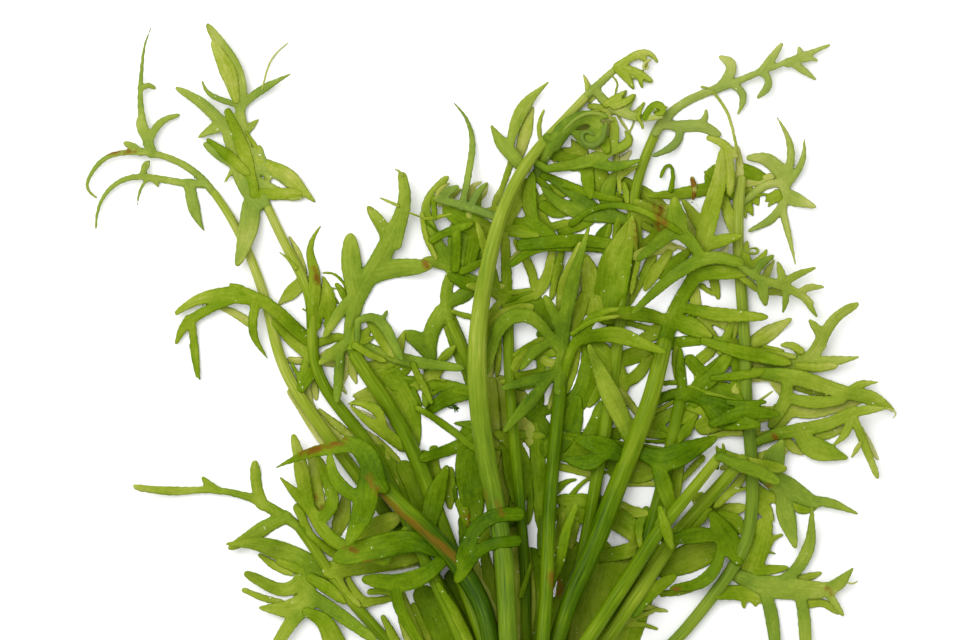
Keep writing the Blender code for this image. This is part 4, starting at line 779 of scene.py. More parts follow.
}
print("filling leaves", sum(len(rows) for rows in FILLS.values()))

# %% [markdown]
# Threads and young coiled tips are thin tubes. Each row is the piece that carries it, its order, shade and strap.

# %% Threads and coils
THREADS = (
    ("hand_blade", 41, 0.5, (2, 2, 1, (402, 176), (400, 172), (395, 169))),
    ("hand_blade", 41, 0.5, (2, 2, 1, (410, 213), (416, 215), (424, 219))),
    ("fiddle_blade", 92, 0.05, (4, 6, 3, (606, 124), (604, 141), (592, 149), (579, 141), (581, 130), (590, 128),
        (594, 135))),
    ("fiddle_blade", 91, 0.35, (3, 4, 3, (612, 120), (601, 113), (586, 112), (573, 120), (564, 130))),
    ("thick_tip_blade", 90, 0.6, (3, 3, 2, (650, 60), (644, 62), (642, 69), (647, 71), (649, 66))),
    ("far_right_stalk", 62, 0.35, (3, 2, 2, (702, 87), (708, 88), (715, 90))),
    ("tall_blade", 60, 0.6, (2, 2, 1, (262, 90), (265, 78), (268, 64), (275, 53), (289, 42))),
    ("tall_stalk", 36, 0.4, (2, 2, 1, (303, 309), (306, 311), (311, 311))),
    ("far_right_stalk", 62, 0.6, (3, 3, 2, (750, 407), (762, 399), (773, 391))),
    ("far_right_stalk", 66, 0.6, (2, 2, 1, (888, 409), (893, 410), (897, 414), (893, 418))),
    ("far_right_stalk", 66, 0.5, (2, 2, 1, (848, 583), (853, 584), (858, 581))),
    ("far_right_stalk", 61, 0.3, (3, 3, 1, (744, 250), (751, 254), (757, 255), (761, 250), (756, 246), (751, 248))),
    ("centre_stalk", 26, 0.15, (2, 2, 1, (431, 398), (445, 404), (453, 411), (456, 405))),
    ("centre_stalk", 26, 0.15, (2, 2, 1, (430, 404), (443, 402), (455, 405), (455, 413))),
)
print("threads", len(THREADS))

# %% [markdown]
# Old tissue goes brown in streaks and at its tips. Each row is a piece, the two ends of a line on the drawing, the
# reach of the brown to both sides in drawing steps, and how brown it is.

# %% Brown marks
MARKS = (
    ("crown", (400, 670), (670, 670), 400, 1.1),
    ("tall_stalk", (314, 268), (318, 282), 5, 1.0),
    ("hand_blade", (424, 258), (427, 267), 5, 0.9),
    ("hand_blade", (368, 207), (374, 209), 5, 0.5),
    ("arch_blade", (108, 153), (136, 151), 4, 0.9),
    ("tall_blade", (205, 24), (209, 34), 4, 0.4),
    ("tall_blade", (309, 195), (314, 202), 4, 0.5),
    ("striped_blade", (304, 452), (346, 440), 5, 1.0),
    ("striped_blade", (370, 474), (380, 490), 5, 1.0),
    ("striped_stalk", (382, 494), (462, 560), 5, 1.3),
    ("striped_stalk", (314, 497), (320, 506), 5, 1.0),
    ("striped_wide_blade", (338, 541), (358, 548), 4, 1.0),
    ("striped_wide_blade", (366, 559), (384, 558), 3, 0.8),
    ("brown_spot_blade", (634, 226), (640, 246), 6, 1.0),
    ("upper_right_stalk", (658, 208), (661, 226), 8, 1.0),
    ("thick_stalk", (497, 500), (502, 512), 4, 0.7),
    ("thick_stalk", (484, 488), (487, 500), 3, 0.5),
    ("hand_stalk", (466, 514), (471, 526), 6, 1.0),
    ("centre_stalk", (552, 574), (560, 592), 8, 1.0),
    ("centre_stalk", (560, 592), (590, 616), 5, 0.8),
    ("mid_left_stalk", (470, 586), (486, 612), 4, 0.8),
    ("lower_right_upper_blade", (672, 588), (678, 588), 4, 0.9),
    ("lower_right_blade", (826, 588), (831, 593), 4, 0.8),
    ("right_lower_blade", (767, 484), (770, 487), 4, 0.8),
    ("far_right_stalk", (692, 178), (694, 198), 5, 1.2),
    ("right_fork_blade", (773, 435), (776, 438), 4, 1.0),
    ("behind_top_blade", (680, 134), (690, 140), 6, 0.8),
)
print("brown marks", len(MARKS))

# %% [markdown]
# Some pieces are paler or darker than their place in the bunch explains, and some are greyer. The tone is added to
# the piece's shade, and the greyness is a share of a pale grey-green. Pieces that need neither are left out.

# %% Tones and greyness
TONES = {
    "antler_blade": -0.14, "arch_blade": -0.1, "arch_stalk": 0.08, "base_dark_blade": 0.1,
    "base_leaf_blade": 0.08, "behind_top_blade": -0.24, "bright_blade": 0.08, "broad_blade": -0.1,
    "broad_low_blade": -0.14, "broad_low_left_blade": -0.16, "broad_stalk": -0.04, "brown_spot_blade": 0.02,
    "centre_blade": -0.02, "centre_over_blade": -0.02, "centre_stalk": -0.02, "dark_stalk": -0.16,
    "far_right_blade": -0.06, "far_right_fine_blade": -0.16, "far_right_stalk": -0.08, "fiddle_blade": -0.24,
    "hand_blade": -0.02, "hand_stalk": 0.08, "left_wing_blade": -0.12, "long_left_blade": -0.12,
    "low_hand_blade": 0.12, "low_left_blade": -0.02, "low_left_fork_blade": 0.04, "lower_right_blade": -0.12,
    "lower_right_upper_blade": -0.2, "mid_left_blade": -0.02, "mid_left_stalk": 0.08, "pale_blade": -0.24,
    "pale_stalk": 0.02, "right_back_blade": -0.24, "right_centre_blade": -0.22, "right_fan_blade": -0.12,
    "right_fork_blade": -0.1, "right_grey_blade": -0.14, "right_lower_blade": -0.18, "right_spear_blade": 0.14,
    "slant_stalk": 0.04, "straight_blade": 0.04, "striped_blade": -0.06, "striped_stalk": -0.12,
    "striped_wide_blade": -0.02, "tall_blade": -0.1, "thick_branch_blade": -0.16, "thick_left_blade": -0.02,
    "thick_mid_blade": -0.18, "thick_stalk": 0.12, "thick_tip_blade": -0.06, "upper_right_blade": -0.16,
    "upright_blade": 0.04, "whorl_arch_blade": -0.08,
}
GREYS = {
    "antler_blade": 0.06, "arch_blade": 0.1, "behind_top_blade": 0.02, "bright_blade": 0.02,
    "centre_blade": 0.02, "far_right_blade": 0.12, "far_right_fine_blade": 0.06, "far_right_stalk": 0.04,
    "fiddle_blade": 0.04, "hand_blade": 0.04, "low_left_blade": 0.02, "low_left_fork_blade": 0.02,
    "lower_right_blade": 0.06, "mid_left_blade": 0.02, "pale_blade": 0.02, "right_fan_blade": 0.02,
    "right_fork_blade": 0.02, "right_grey_blade": 0.02, "right_lower_blade": 0.06, "tall_blade": 0.1,
    "thick_branch_blade": 0.1, "thick_left_blade": 0.06, "thick_mid_blade": 0.02, "thick_stalk": 0.02,
    "thick_tip_blade": 0.12, "upper_right_blade": 0.16, "whorl_arch_blade": 0.06,
}
print("pieces with a tone of their own", len(TONES), "and with bloom", len(GREYS))

# %% [markdown]
# ## Lines and widths
# A traced line has corners, and a leaf has none. So each line is read at even close steps and then smoothed by a
# running mean. The ends stay put because the line is carried on past them, turned about its end point.

# %% Lines
DENSE = 0.0008
FINE = 0.0003


def run_lengths(points):
    """The way walked along the points up to each of them: the running sum of the distances between them."""
    return np.concatenate(([0.0], np.cumsum(np.hypot(*np.diff(points, axis=0).T))))


def strap(widths, points, step=DENSE):
    """A line at even steps with its width at each: straight runs between the points, widths by share of length."""
    corners = flat(points)
    runs = run_lengths(corners)
    at = np.linspace(0.0, runs[-1], max(3, int(runs[-1] / step) + 1))
    line = np.column_stack([np.interp(at, runs, corners[:, axis]) for axis in (0, 1)])
    width = np.interp(at / runs[-1], (0.0, 0.5, 1.0), np.array(widths) * STEP)
    return line, width


def smoothed(values, reach):
    """Running mean over reach steps to both sides, with the ends held where they are."""
    reach = min(reach, len(values) - 1)
    pad = [(reach, reach)] + [(0, 0)] * (values.ndim - 1)
    longer = np.pad(values, pad, mode="reflect", reflect_type="odd")
    return np.mean([longer[k : k + len(values)] for k in range(2 * reach + 1)], axis=0)


stalks = {name: strap(widths, points) for name, _, widths, points in STALKS}
print("longest stalk", round(max(run_lengths(line)[-1] for line, _ in stalks.values()) * 1000), "mm")

# %% [markdown]
# A leaf's strap needs finer steps than the pile does, corners rounded over about 3 mm, and an end drawn out to a
# blunt point. The width near the end follows a quarter circle: the root of one less the square of one less the share
# that is left of the tip's length.

# %% A leaf's strap
CORNER_REACH = 9
TIP_DRAWN_OUT = 0.45
TIP_LENGTH = 1.3
TIP_LEAST = 0.0006
TIP_BLUNT = 0.25


def quarter_round(share):
    """From nought to one along a quarter circle: the root of one less the square of one less the share."""
    return np.sqrt(np.clip(1 - (1 - np.clip(share, 0.0, 1.0)) ** 2, 0.0, 1.0))


def smooth_strap(widths, points):
    """A strap in finer steps with rounded corners, carried on past its end and narrowed along a quarter circle."""
    line, width = strap(widths, points, FINE)
    reach = max(1, min(CORNER_REACH, len(line) // 6))
    line = smoothed(smoothed(line, reach), reach)
    width = smoothed(width, max(1, len(line) // 8))
    more = int(TIP_DRAWN_OUT * width[-1] / FINE)
    ahead = (line[-1] - line[-3]) / np.linalg.norm(line[-1] - line[-3]) * FINE
    line = np.vstack((line, line[-1] + ahead * np.arange(1, more + 1)[:, None]))
    width = np.concatenate((width, np.full(more, width[-1])))
    left = np.arange(len(line))[::-1] * FINE / (TIP_LENGTH * max(width[-1], TIP_LEAST))
    return line, width * (TIP_BLUNT + (1 - TIP_BLUNT) * quarter_round(left))


first_leaf = smooth_strap(BLADES[0][4][0][:3], BLADES[0][4][0][3:])
print("first leaf", len(first_leaf[0]), "steps, widest", round(first_leaf[1].max() * 1000, 1), "mm")

# %% [markdown]
# ## Laying the pieces on one another
# The bunch is a loose pile, so the height of a leaf depends on all that lies beneath it. The pieces are laid one
# after another on a map of heights, the way a hand would drop them: a stalk bridges what it crosses with a gentle
# slope, and a blade is held by its stalk at the foot and drapes over the rest. A cloth simulation would do it too,
# but it moves the outlines, and here they must stay where they are drawn.

# %% The map of heights
CELL = 0.0008
GAP = 0.0008
MARGIN = 0.0003
JOINT_REACH = 0.0015


class Table:
    """How high the pile stands, cell by cell: pieces' tops, stalks' lines with heights, and blades' fields."""

    def __init__(self, low, high):
        self.low = np.array(low)
        count = np.ceil((np.array(high) - self.low) / CELL).astype(int) + 1
        axes = [self.low[axis] + CELL * np.arange(count[axis]) for axis in (0, 1)]
        self.x, self.y = np.meshgrid(*axes, indexing="ij")
        self.tops = {}
        self.lines = {}
        self.fields = {}
        self.levels = {}

    def bare(self):
        """The map with nothing on it: so low that whatever must clear it comes to lie on the table."""
        return np.full(self.x.shape, -GAP - MARGIN)

    def disc(self, place, reach):
        """The cells around a place, and reach squared less the distance squared for each."""
        first = np.clip(((place - reach - self.low) / CELL).astype(int), 0, None)
        last = ((place + reach - self.low) / CELL).astype(int) + 2
        box = (slice(first[0], last[0]), slice(first[1], last[1]))
        return box, reach**2 - (self.x[box] - place[0]) ** 2 - (self.y[box] - place[1]) ** 2

    def covered(self, straps, grow):
        """Which cells lie within half a strap's width, grown by a little, of its line."""
        found = np.zeros(self.x.shape, dtype=bool)
        for line, width in straps:
            for place, wide in zip(line, width):
                box, inside = self.disc(place, wide / 2 + grow)
                found[box] |= inside > 0
        return found

    def ground(self, without=None, feet=()):
        """The top of all that lies here, leaving out one piece close to the given feet."""
        found = self.bare()
        for name, top in self.tops.items():
            if name == without:
                top = np.where(self.covered(feet, JOINT_REACH), found, top)
            found = np.maximum(found, top)
        return found


table = Table(flat((60, 790)), flat((920, 5)))
print("map of", table.x.shape, "cells")

# %% [markdown]
# A point rarely falls on the middle of a cell, so the height there is read between the four nearest ones.

# %% Reading the map
def between(field, low, cell, points):
    """The field at points between its cells: the mean of the four nearest, weighted by nearness."""
    where = (points - low) / cell
    corner = np.clip(np.floor(where).astype(int), 0, np.array(field.shape) - 2)
    part = np.clip(where - corner, 0.0, 1.0)
    i, j = corner.T
    s, t = part.T
    near = field[i, j] * (1 - s) + field[i + 1, j] * s
    far = field[i, j + 1] * (1 - s) + field[i + 1, j + 1] * s
    return near * (1 - t) + far * t


halfway = between(table.x, table.low, CELL, table.low[None] + CELL / 2) - table.low[0]
print("a point halfway to the next cell reads", np.round(halfway * 1000, 2), "mm")

# %% [markdown]
# A stalk is stiff, so its height is a list along its line. At each step it must clear the highest cell beneath its
# round underside. Peaks get sides that fall at one slope, and a running mean takes the corners off.

# %% Laying a stalk
STALK_FALL = 0.30
STALK_REACH = 6


def window(values, reach, pick):
    """Each value becomes the pick, highest or mean, of those within reach of it along the line."""
    padded = np.pad(values, reach, mode="edge")
    return pick([padded[k : k + len(values)] for k in range(2 * reach + 1)], axis=0)


def lay_stalk(table, name, line, width):
    """Height of a stalk's middle: ground plus the root of reach squared less distance squared, then ramps."""
    ground = table.ground()
    heights = width / 2
    for k, (place, wide) in enumerate(zip(line, width)):
        box, dome = table.disc(place, wide / 2 + MARGIN)
        inside = dome > 0
        heights[k] = max(heights[k], (ground[box][inside] + np.sqrt(dome[inside])).max() + GAP)
    ramp = STALK_FALL * DENSE * np.arange(len(line))
    forward = np.maximum.accumulate(heights + ramp) - ramp
    backward = np.maximum.accumulate((heights - ramp)[::-1])[::-1] + ramp
    heights = window(window(np.maximum(forward, backward), STALK_REACH, np.max), STALK_REACH, np.mean)
    top = table.bare()
    for place, wide, height in zip(line, width, heights):
        box, dome = table.disc(place, wide / 2 + MARGIN)
        top[box] = np.maximum(top[box], np.where(dome > 0, height + np.sqrt(np.abs(dome)), -1.0))
    table.tops[name] = top
    table.lines[name] = (line, heights)


print("a stalk falls at most", STALK_FALL, "mm in each mm")

# %% [markdown]
# A blade is limp, so its height is a field over the table, and a field is shaped by four helpers. Peaks are widened
# by a cell or two, given sides that fall at one slope, and softened like cloth. Low waves keep a blade from lying
# dead flat.

# %% Shaping a field
RIPPLE = 0.0006
RIPPLE_LENGTH = 0.034
RIPPLE_ASIDE = 0.7
SEED_TURN = 2.4


def widened(field, rounds):
    """Each cell becomes the highest of itself and its neighbours, over and over."""
    for _ in range(rounds):
        padded = np.pad(field, 1, mode="edge")
        across = np.maximum.reduce([padded[:-2], padded[1:-1], padded[2:]])
        field = np.maximum.reduce([across[:, :-2], across[:, 1:-1], across[:, 2:]])
    return field


def spread(field, fall):
    """Every peak gets sides that fall at this slope: the highest of each cell and its neighbours less the fall."""
    diagonal = 1.4142
    steps = [(1, 0, 1.0), (-1, 0, 1.0), (0, 1, 1.0), (0, -1, 1.0)]
    steps += [(1, 1, diagonal), (1, -1, diagonal), (-1, 1, diagonal), (-1, -1, diagonal)]
    while True:
        before = field
        for dx, dy, length in steps:
            padded = np.pad(field, 1, mode="edge")
            moved = padded[1 + dx : padded.shape[0] - 1 + dx, 1 + dy : padded.shape[1] - 1 + dy]
            field = np.maximum(field, moved - fall * CELL * length)
        if np.allclose(field, before, atol=1e-6):
            return field


def softened(field, rounds):
    """Each cell becomes the mean of itself and its neighbours, over and over."""
    for _ in range(rounds):
        padded = np.pad(field, 1, mode="edge")
        across = (padded[:-2] + 2 * padded[1:-1] + padded[2:]) / 4
        field = (across[:, :-2] + 2 * across[:, 1:-1] + across[:, 2:]) / 4
    return field


def ripple(x, y, seed):
    """Gentle waves, never below nought: two sines at right angles, each plus one."""
    turn = seed * SEED_TURN
    ahead = x * np.cos(turn) + y * np.sin(turn)
    aside = y * np.cos(turn) - x * np.sin(turn)
    first = np.sin(ahead * 2 * np.pi / RIPPLE_LENGTH + seed)
    second = np.sin(aside * 2 * np.pi / (RIPPLE_ASIDE * RIPPLE_LENGTH) + 2 * seed)
    return RIPPLE * (2 + first + second)


print("ripple up to", RIPPLE * 4 * 1000, "mm")

# %% [markdown]
# Every cell that a blade covers must clear the ground there. The needs are shaped into one field, which is held up
# at the foot by the stalk and ripples more the farther it is from it. A lobe that starts on a stalk is cut back to
# where it stands clear of it.

# %% Laying a blade
SHEET = 0.0008
BLADE_FALL = 0.42
BLADE_SKIRT = 0.0006
BLADE_PAD = 24
WIDEN_ROUNDS, BLADE_SOFT = 2, 5
FREE_FROM = 0.02
JOINT_GAP = 0.0004
THINNEST = 0.0009


def around(covered, pad):
    """The box of cells that holds every covered cell, with a pad on all sides."""
    rows, columns = np.nonzero(covered)
    first = (max(0, rows.min() - pad), max(0, columns.min() - pad))
    return slice(first[0], rows.max() + pad + 1), slice(first[1], columns.max() + pad + 1)


def cut_back(line, width, stalk):
    """The strap from where its whole width first stands clear of the stalk it starts on."""
    along = np.gradient(line, axis=0)
    along /= np.hypot(*along.T)[:, None]
    edge = np.column_stack((-along[:, 1], along[:, 0])) * np.maximum(width, THINNEST)[:, None] / 2
    clear = np.ones(len(line), dtype=bool)
    for share in (-1.0, -0.5, 0.0, 0.5, 1.0):
        off = np.hypot(*((line + edge * share)[:, None] - stalk[0][None]).transpose(2, 0, 1))
        clear &= (off > stalk[1] / 2 + JOINT_GAP).all(axis=1)
    first = int(clear.argmax()) if clear.any() else len(line)
    return (line[first:], width[first:]) if first < len(line) - 4 else None


def lay_blade(table, name, straps, parent, seed, rise):
    """Height of a blade: the higher of what it must clear and its stalk's height less the fall, plus ripples."""
    foot = straps[0][0][0]
    covered = table.covered(straps, BLADE_SKIRT)
    box = around(covered, BLADE_PAD)
    x, y, lies = table.x[box], table.y[box], covered[box]
    feet = [(line[:1], width[:1]) for line, width in straps]
    need = np.where(lies, table.ground(parent, feet)[box] + GAP + SHEET / 2, -1.0)
    field = spread(widened(need, WIDEN_ROUNDS), BLADE_FALL)
    line, heights = table.lines[parent]
    held = heights[np.argmin(np.hypot(*(line - foot).T))]
    away = np.hypot(x - foot[0], y - foot[1])
    field = np.maximum(field, held - BLADE_FALL * away)
    far = max(0.001, float(away[lies].max()))
    free = ripple(x, y, seed) + rise / 1000 * (away / far) ** 2
    field = softened(field + free * np.clip(away / FREE_FROM, 0.0, 1.0), BLADE_SOFT)
    whole = np.full(table.x.shape, SHEET / 2)
    whole[box] = np.maximum(field, SHEET / 2)
    table.tops[name] = np.where(covered, whole + SHEET / 2, table.bare())
    table.fields[name] = whole


print("a blade falls at most", BLADE_FALL, "mm in each mm")

# %% [markdown]
# The stalks and blades are now laid in their order, from the table up. Each keeps a number of its own, by which its
# ripples and its small differences are told apart.

# %% The pile
order = [(rank, name, None) for name, rank, _, _ in STALKS]
order += [(row[1], row[0], row) for row in BLADES]
seeds = {}
for seed, (_, name, row) in enumerate(sorted(order, key=lambda item: item[:2])):
    seeds[name] = seed
    if row is None:
        lay_stalk(table, name, *stalks[name])
        continue
    laid = [cut_back(*strap(line[:3], line[3:]), stalks[row[2]]) for line in row[4]]
    lay_blade(table, name, [found for found in laid if found], row[2], seed, row[3])
print("pile", round(max(float(top.max()) for top in table.tops.values()) * 1000, 1), "mm high")

# %% [markdown]
# A filling leaf is slipped into the finished pile. It rests on whatever has a lower order, and stays under whatever
# has a higher one. So the table also keeps, for every piece, its order, its top and how thick it is.

# %% Slipping in a filling leaf
LEAF = 0.0004
LEAF_GAP = 0.0004
LEAF_SINK = 0.0002
LEAF_LIFT = 0.0001
LEAF_PAD = 16
LEAF_SOFT = 3
SKY_HIGH = 1.0


def lay_fill(table, straps, rank):
    """Height of a filling leaf: just above all that is ranked below it, and no higher than what lies over it."""
    covered = table.covered(straps, LEAF_GAP)
    box = around(covered, LEAF_PAD)
    below = np.zeros(table.x[box].shape)
    above = np.full(table.x[box].shape, SKY_HIGH)
    for level, top, thick in table.levels.values():
        here = top[box]
        lies = here > 0.0
        if level < rank:
            below = np.maximum(below, np.where(lies, here - LEAF_SINK, 0.0))
        else:
            above = np.minimum(above, np.where(lies, here - thick, SKY_HIGH))
    need = np.where(covered[box], below + LEAF_GAP, 0.0)
    field = softened(spread(need, BLADE_FALL), LEAF_SOFT)
    ceiling = -softened(spread(-above, BLADE_FALL), LEAF_SOFT) if above.min() < SKY_HIGH else above
    whole = np.full(table.x.shape, LEAF / 2)
    whole[box] = np.maximum(np.minimum(field, ceiling - LEAF_GAP), LEAF / 2 + LEAF_LIFT)
    return covered, whole


table.levels = {row[0]: (row[1], table.tops[row[0]], SHEET) for row in BLADES}
for name, rank, _, _ in STALKS:
    table.levels[name] = (rank, table.tops[name], float(stalks[name][1].max()) + 2 * MARGIN)
print("levels", len(table.levels))

# %% [markdown]
# ## A tube along a path
# Stalks, threads and coiled tips are tubes. Each point is the path's point plus the radius times the cosine of the
# turn to the side and the sine of the turn upwards. The radius wanders by a few low ridges, because a water plant's
# stalk is never quite round. At both ends the rings shrink along a quarter circle to one point, so it is closed.

# %% Tubes
CAP = np.sin(np.linspace(0.0, np.pi / 2, 6))[1:]
SIDES = 20
RIDGE_TWIST = 40


def tube(path, radius, ridges, sides=SIDES):
    """Points, faces, surface coordinates and share of the length of a closed tube with domed ends.

    Each point is the path's point plus the wandering radius times (cosine of the turn to the side plus sine of the
    turn upwards).
    """
    ahead = np.gradient(path, axis=0)
    ahead /= np.linalg.norm(ahead, axis=1)[:, None]
    start = path[0] - ahead[0] * radius[0] * CAP[::-1][:, None]
    end = path[-1] + ahead[-1] * radius[-1] * CAP[:, None]
    shrink = np.sqrt(np.clip(1 - CAP**2, 0.0, 1.0))
    centre = np.vstack((start, path, end))
    size = np.concatenate((radius[0] * shrink[::-1], radius, radius[-1] * shrink))
    ahead = np.vstack((np.repeat(ahead[:1], len(CAP), axis=0), ahead, np.repeat(ahead[-1:], len(CAP), axis=0)))
    side = np.column_stack((ahead[:, 1], -ahead[:, 0], np.zeros(len(ahead))))
    side /= np.linalg.norm(side, axis=1)[:, None]
    up = np.cross(side, ahead)
    turn = np.arange(sides) * 2 * np.pi / sides
    runs = np.concatenate(([0.0], np.cumsum(np.linalg.norm(np.diff(centre, axis=0), axis=1))))
    wander = 1 + ridges * np.cos(5 * turn[None] + runs[:, None] * RIDGE_TWIST) + ridges * np.sin(3 * turn)[None]
    reach = (size[:, None] * wander)[..., None]
    rings = centre[:, None] + reach * (np.cos(turn)[:, None] * side[:, None] + np.sin(turn)[:, None] * up[:, None])
    inner = rings[1:-1].reshape(-1, 3)
    points = np.vstack((inner, centre[:1], centre[-1:]))
    count = len(rings) - 2
    index = np.arange(count * sides).reshape(count, sides)
    after = np.roll(index, -1, axis=1)
    quads = np.stack((index[:-1], index[1:], after[1:], after[:-1]), axis=-1).reshape(-1, 4)
    first = np.stack((np.full(sides, count * sides), index[0], after[0]), axis=-1)
    last = np.stack((np.full(sides, count * sides + 1), after[-1], index[-1]), axis=-1)
    along = np.repeat(runs[1:-1], sides)
    around = np.tile(turn, count)
    place = np.column_stack((along, around, np.repeat(size[1:-1], sides)))
    place = np.vstack((place, (runs[0], 0.0, 0.0), (runs[-1], 0.0, 0.0)))
    share = place[:, 0] / runs[-1]
    return points, [quads, first, last], place, share


print("tubes with", SIDES, "sides and", len(CAP), "rings in each dome")

# %% [markdown]
# ## A lobed sheet
# A blade's outline comes from distances. For each cell of a fine grid the distance to every strap's line, less half
# its width there, is nought on the outline and below nought inside. The smallest of these joins the straps, and a
# smooth smallest also rounds the notch between two lobes, as on the real leaf. Corners of the grid that fall just
# outside are pulled onto the outline along the slope of the distance. The sheet is thin, with a rounded rim.

# %% Distance to a strap
GRID = 0.00039
FAR = 9.0
RUN_PIECE = 40
LOOK_AROUND = 0.003


def strap_distance(x, y, low, line, width):
    """For each cell: distance outside the strap, then the run along it, the distance across it and its half width."""
    found = np.full(x.shape + (4,), FAR)
    runs = run_lengths(line)
    ahead = np.gradient(line, axis=0)
    ahead /= np.hypot(*ahead.T)[:, None]
    for first in range(0, len(line), RUN_PIECE):
        some = slice(first, first + RUN_PIECE + 1)
        reach = width[some].max() / 2 + LOOK_AROUND
        start = np.clip(((line[some].min(0) - reach - low) / GRID).astype(int), 0, None)
        stop = ((line[some].max(0) + reach - low) / GRID).astype(int) + 2
        box = (slice(start[0], stop[0]), slice(start[1], stop[1]))
        dx = x[box][..., None] - line[some, 0]
        dy = y[box][..., None] - line[some, 1]
        out = np.hypot(dx, dy) - width[some] / 2
        nearest = out.argmin(axis=-1)[..., None]
        pick = np.take_along_axis(out, nearest, -1)[..., 0]
        across = np.take_along_axis(dx * ahead[some, 1] - dy * ahead[some, 0], nearest, -1)[..., 0]
        these = np.stack((pick, runs[some][nearest[..., 0]], across, width[some][nearest[..., 0]] / 2), axis=-1)
        nearer = pick < found[box][..., 0]
        found[box] = np.where(nearer[..., None], these, found[box])
    return found, runs[-1]


print("a leaf has a point every", GRID * 1000, "mm")

# %% [markdown]
# The straps of a sheet are put on one grid of points. Each point belongs to the strap whose edge it lies deepest
# inside, and keeps its run along it, its distance across, the strap's half width there and the strap's tone.

# %% Straps on one grid
NOTCH = 0.0007
GRID_MARGIN = 0.002
WAVER, WAVER_X, WAVER_Y = 0.00008, 2600, 2300
TONE_SOFT = 6


def straps_on_grid(straps, tones, seed):
    """The grid, the distance outside the outline at its points, and five numbers of the nearest strap.

    The outline is a smooth smallest of the straps' distances: the smaller one less a quarter of the notch's size
    times the square of how close they are, plus a slight waver of two sines.
    """
    low = np.min([(line - width[:, None] / 2).min(0) for line, width in straps], axis=0) - GRID_MARGIN
    high = np.max([(line + width[:, None] / 2).max(0) for line, width in straps], axis=0) + GRID_MARGIN
    count = np.ceil((high - low) / GRID).astype(int) + 1
    x, y = np.meshgrid(*[low[k] + GRID * np.arange(count[k]) for k in (0, 1)], indexing="ij")
    out = np.full(x.shape, FAR)
    nearest = np.full(x.shape, FAR)
    kept = {key: np.zeros(x.shape) for key in ("run", "across", "half", "share", "tone")}
    for (line, width), shade in zip(straps, tones):
        found, length = strap_distance(x, y, low, line, width)
        distance, run, across, half = np.moveaxis(found, -1, 0)
        own = distance < nearest
        nearest = np.where(own, distance, nearest)
        for key, value in zip(kept, (run, across, half, run / length, shade)):
            kept[key] = np.where(own, value, kept[key])
        blend = np.clip(NOTCH - np.abs(out - distance), 0.0, None) / NOTCH
        out = np.minimum(out, distance) - blend**2 * NOTCH / 4
    out = out + WAVER * np.sin(x * WAVER_X + seed) * np.sin(y * WAVER_Y + 2 * seed)
    kept["tone"] = softened(kept["tone"], TONE_SOFT)
    return low, x, y, out, kept


print("notches rounded over", NOTCH * 1000, "mm")

# %% [markdown]
# Only the squares of the grid that touch the leaf are kept. The corners left outside are its rim, and are pulled
# onto the outline in three steps, each as far as the distance over the slope, as Newton found roots.

# %% The outline of a sheet
INSIDE_BY = 0.1
OUTLINE_STEPS = 3
LEAST_SLOPE = 0.05


def outlined(low, x, y, out):
    """The squares as rows of four corners, the used grid points, their plan, and which of them are the rim."""
    inside = out < -INSIDE_BY * GRID
    quads_in = inside[:-1, :-1] | inside[1:, :-1] | inside[:-1, 1:] | inside[1:, 1:]
    index = np.arange(x.size).reshape(x.shape)
    quads = np.stack((index[:-1, :-1], index[1:, :-1], index[1:, 1:], index[:-1, 1:]), axis=-1)[quads_in]
    used, quads = np.unique(quads, return_inverse=True)
    plan = np.column_stack((x.ravel(), y.ravel()))[used]
    rim = ~inside.ravel()[used]
    slope = np.stack(np.gradient(out, GRID), axis=-1)
    for _ in range(OUTLINE_STEPS):
        value = between(out, low, GRID, plan[rim])
        push = np.column_stack([between(slope[..., k], low, GRID, plan[rim]) for k in (0, 1)])
        plan[rim] -= push * (value / np.maximum((push**2).sum(axis=1), LEAST_SLOPE))[:, None]
    return quads.reshape(-1, 4), used, plan, rim


print("rim pulled onto the outline in", OUTLINE_STEPS, "steps")

# %% [markdown]
# A living leaf is hardly half a millimetre thick. It is a shallow trough or a low arch across, swells a little here
# and there, has a fine midrib on top, and thickens where it leaves the stalk. Its rim is rounded.

# %% Sheets
RIM = 0.0003
CUP, CUP_WIDE, CUP_SOFT, LIFT_SOFT = 0.0005, 0.003, 5, 4
SWELL, SWELL_X, SWELL_Y = 0.00018, 700, 640
FOOT_THICK, FOOT_REACH = 0.0011, 0.006
RIB_HEIGHT, RIB_WIDTH, RIB_HALF = 0.00007, 0.0004, 0.002
TOP_LOWEST, UNDER_LOWEST = 0.00005, 0.00003
NARROW = 1e-4


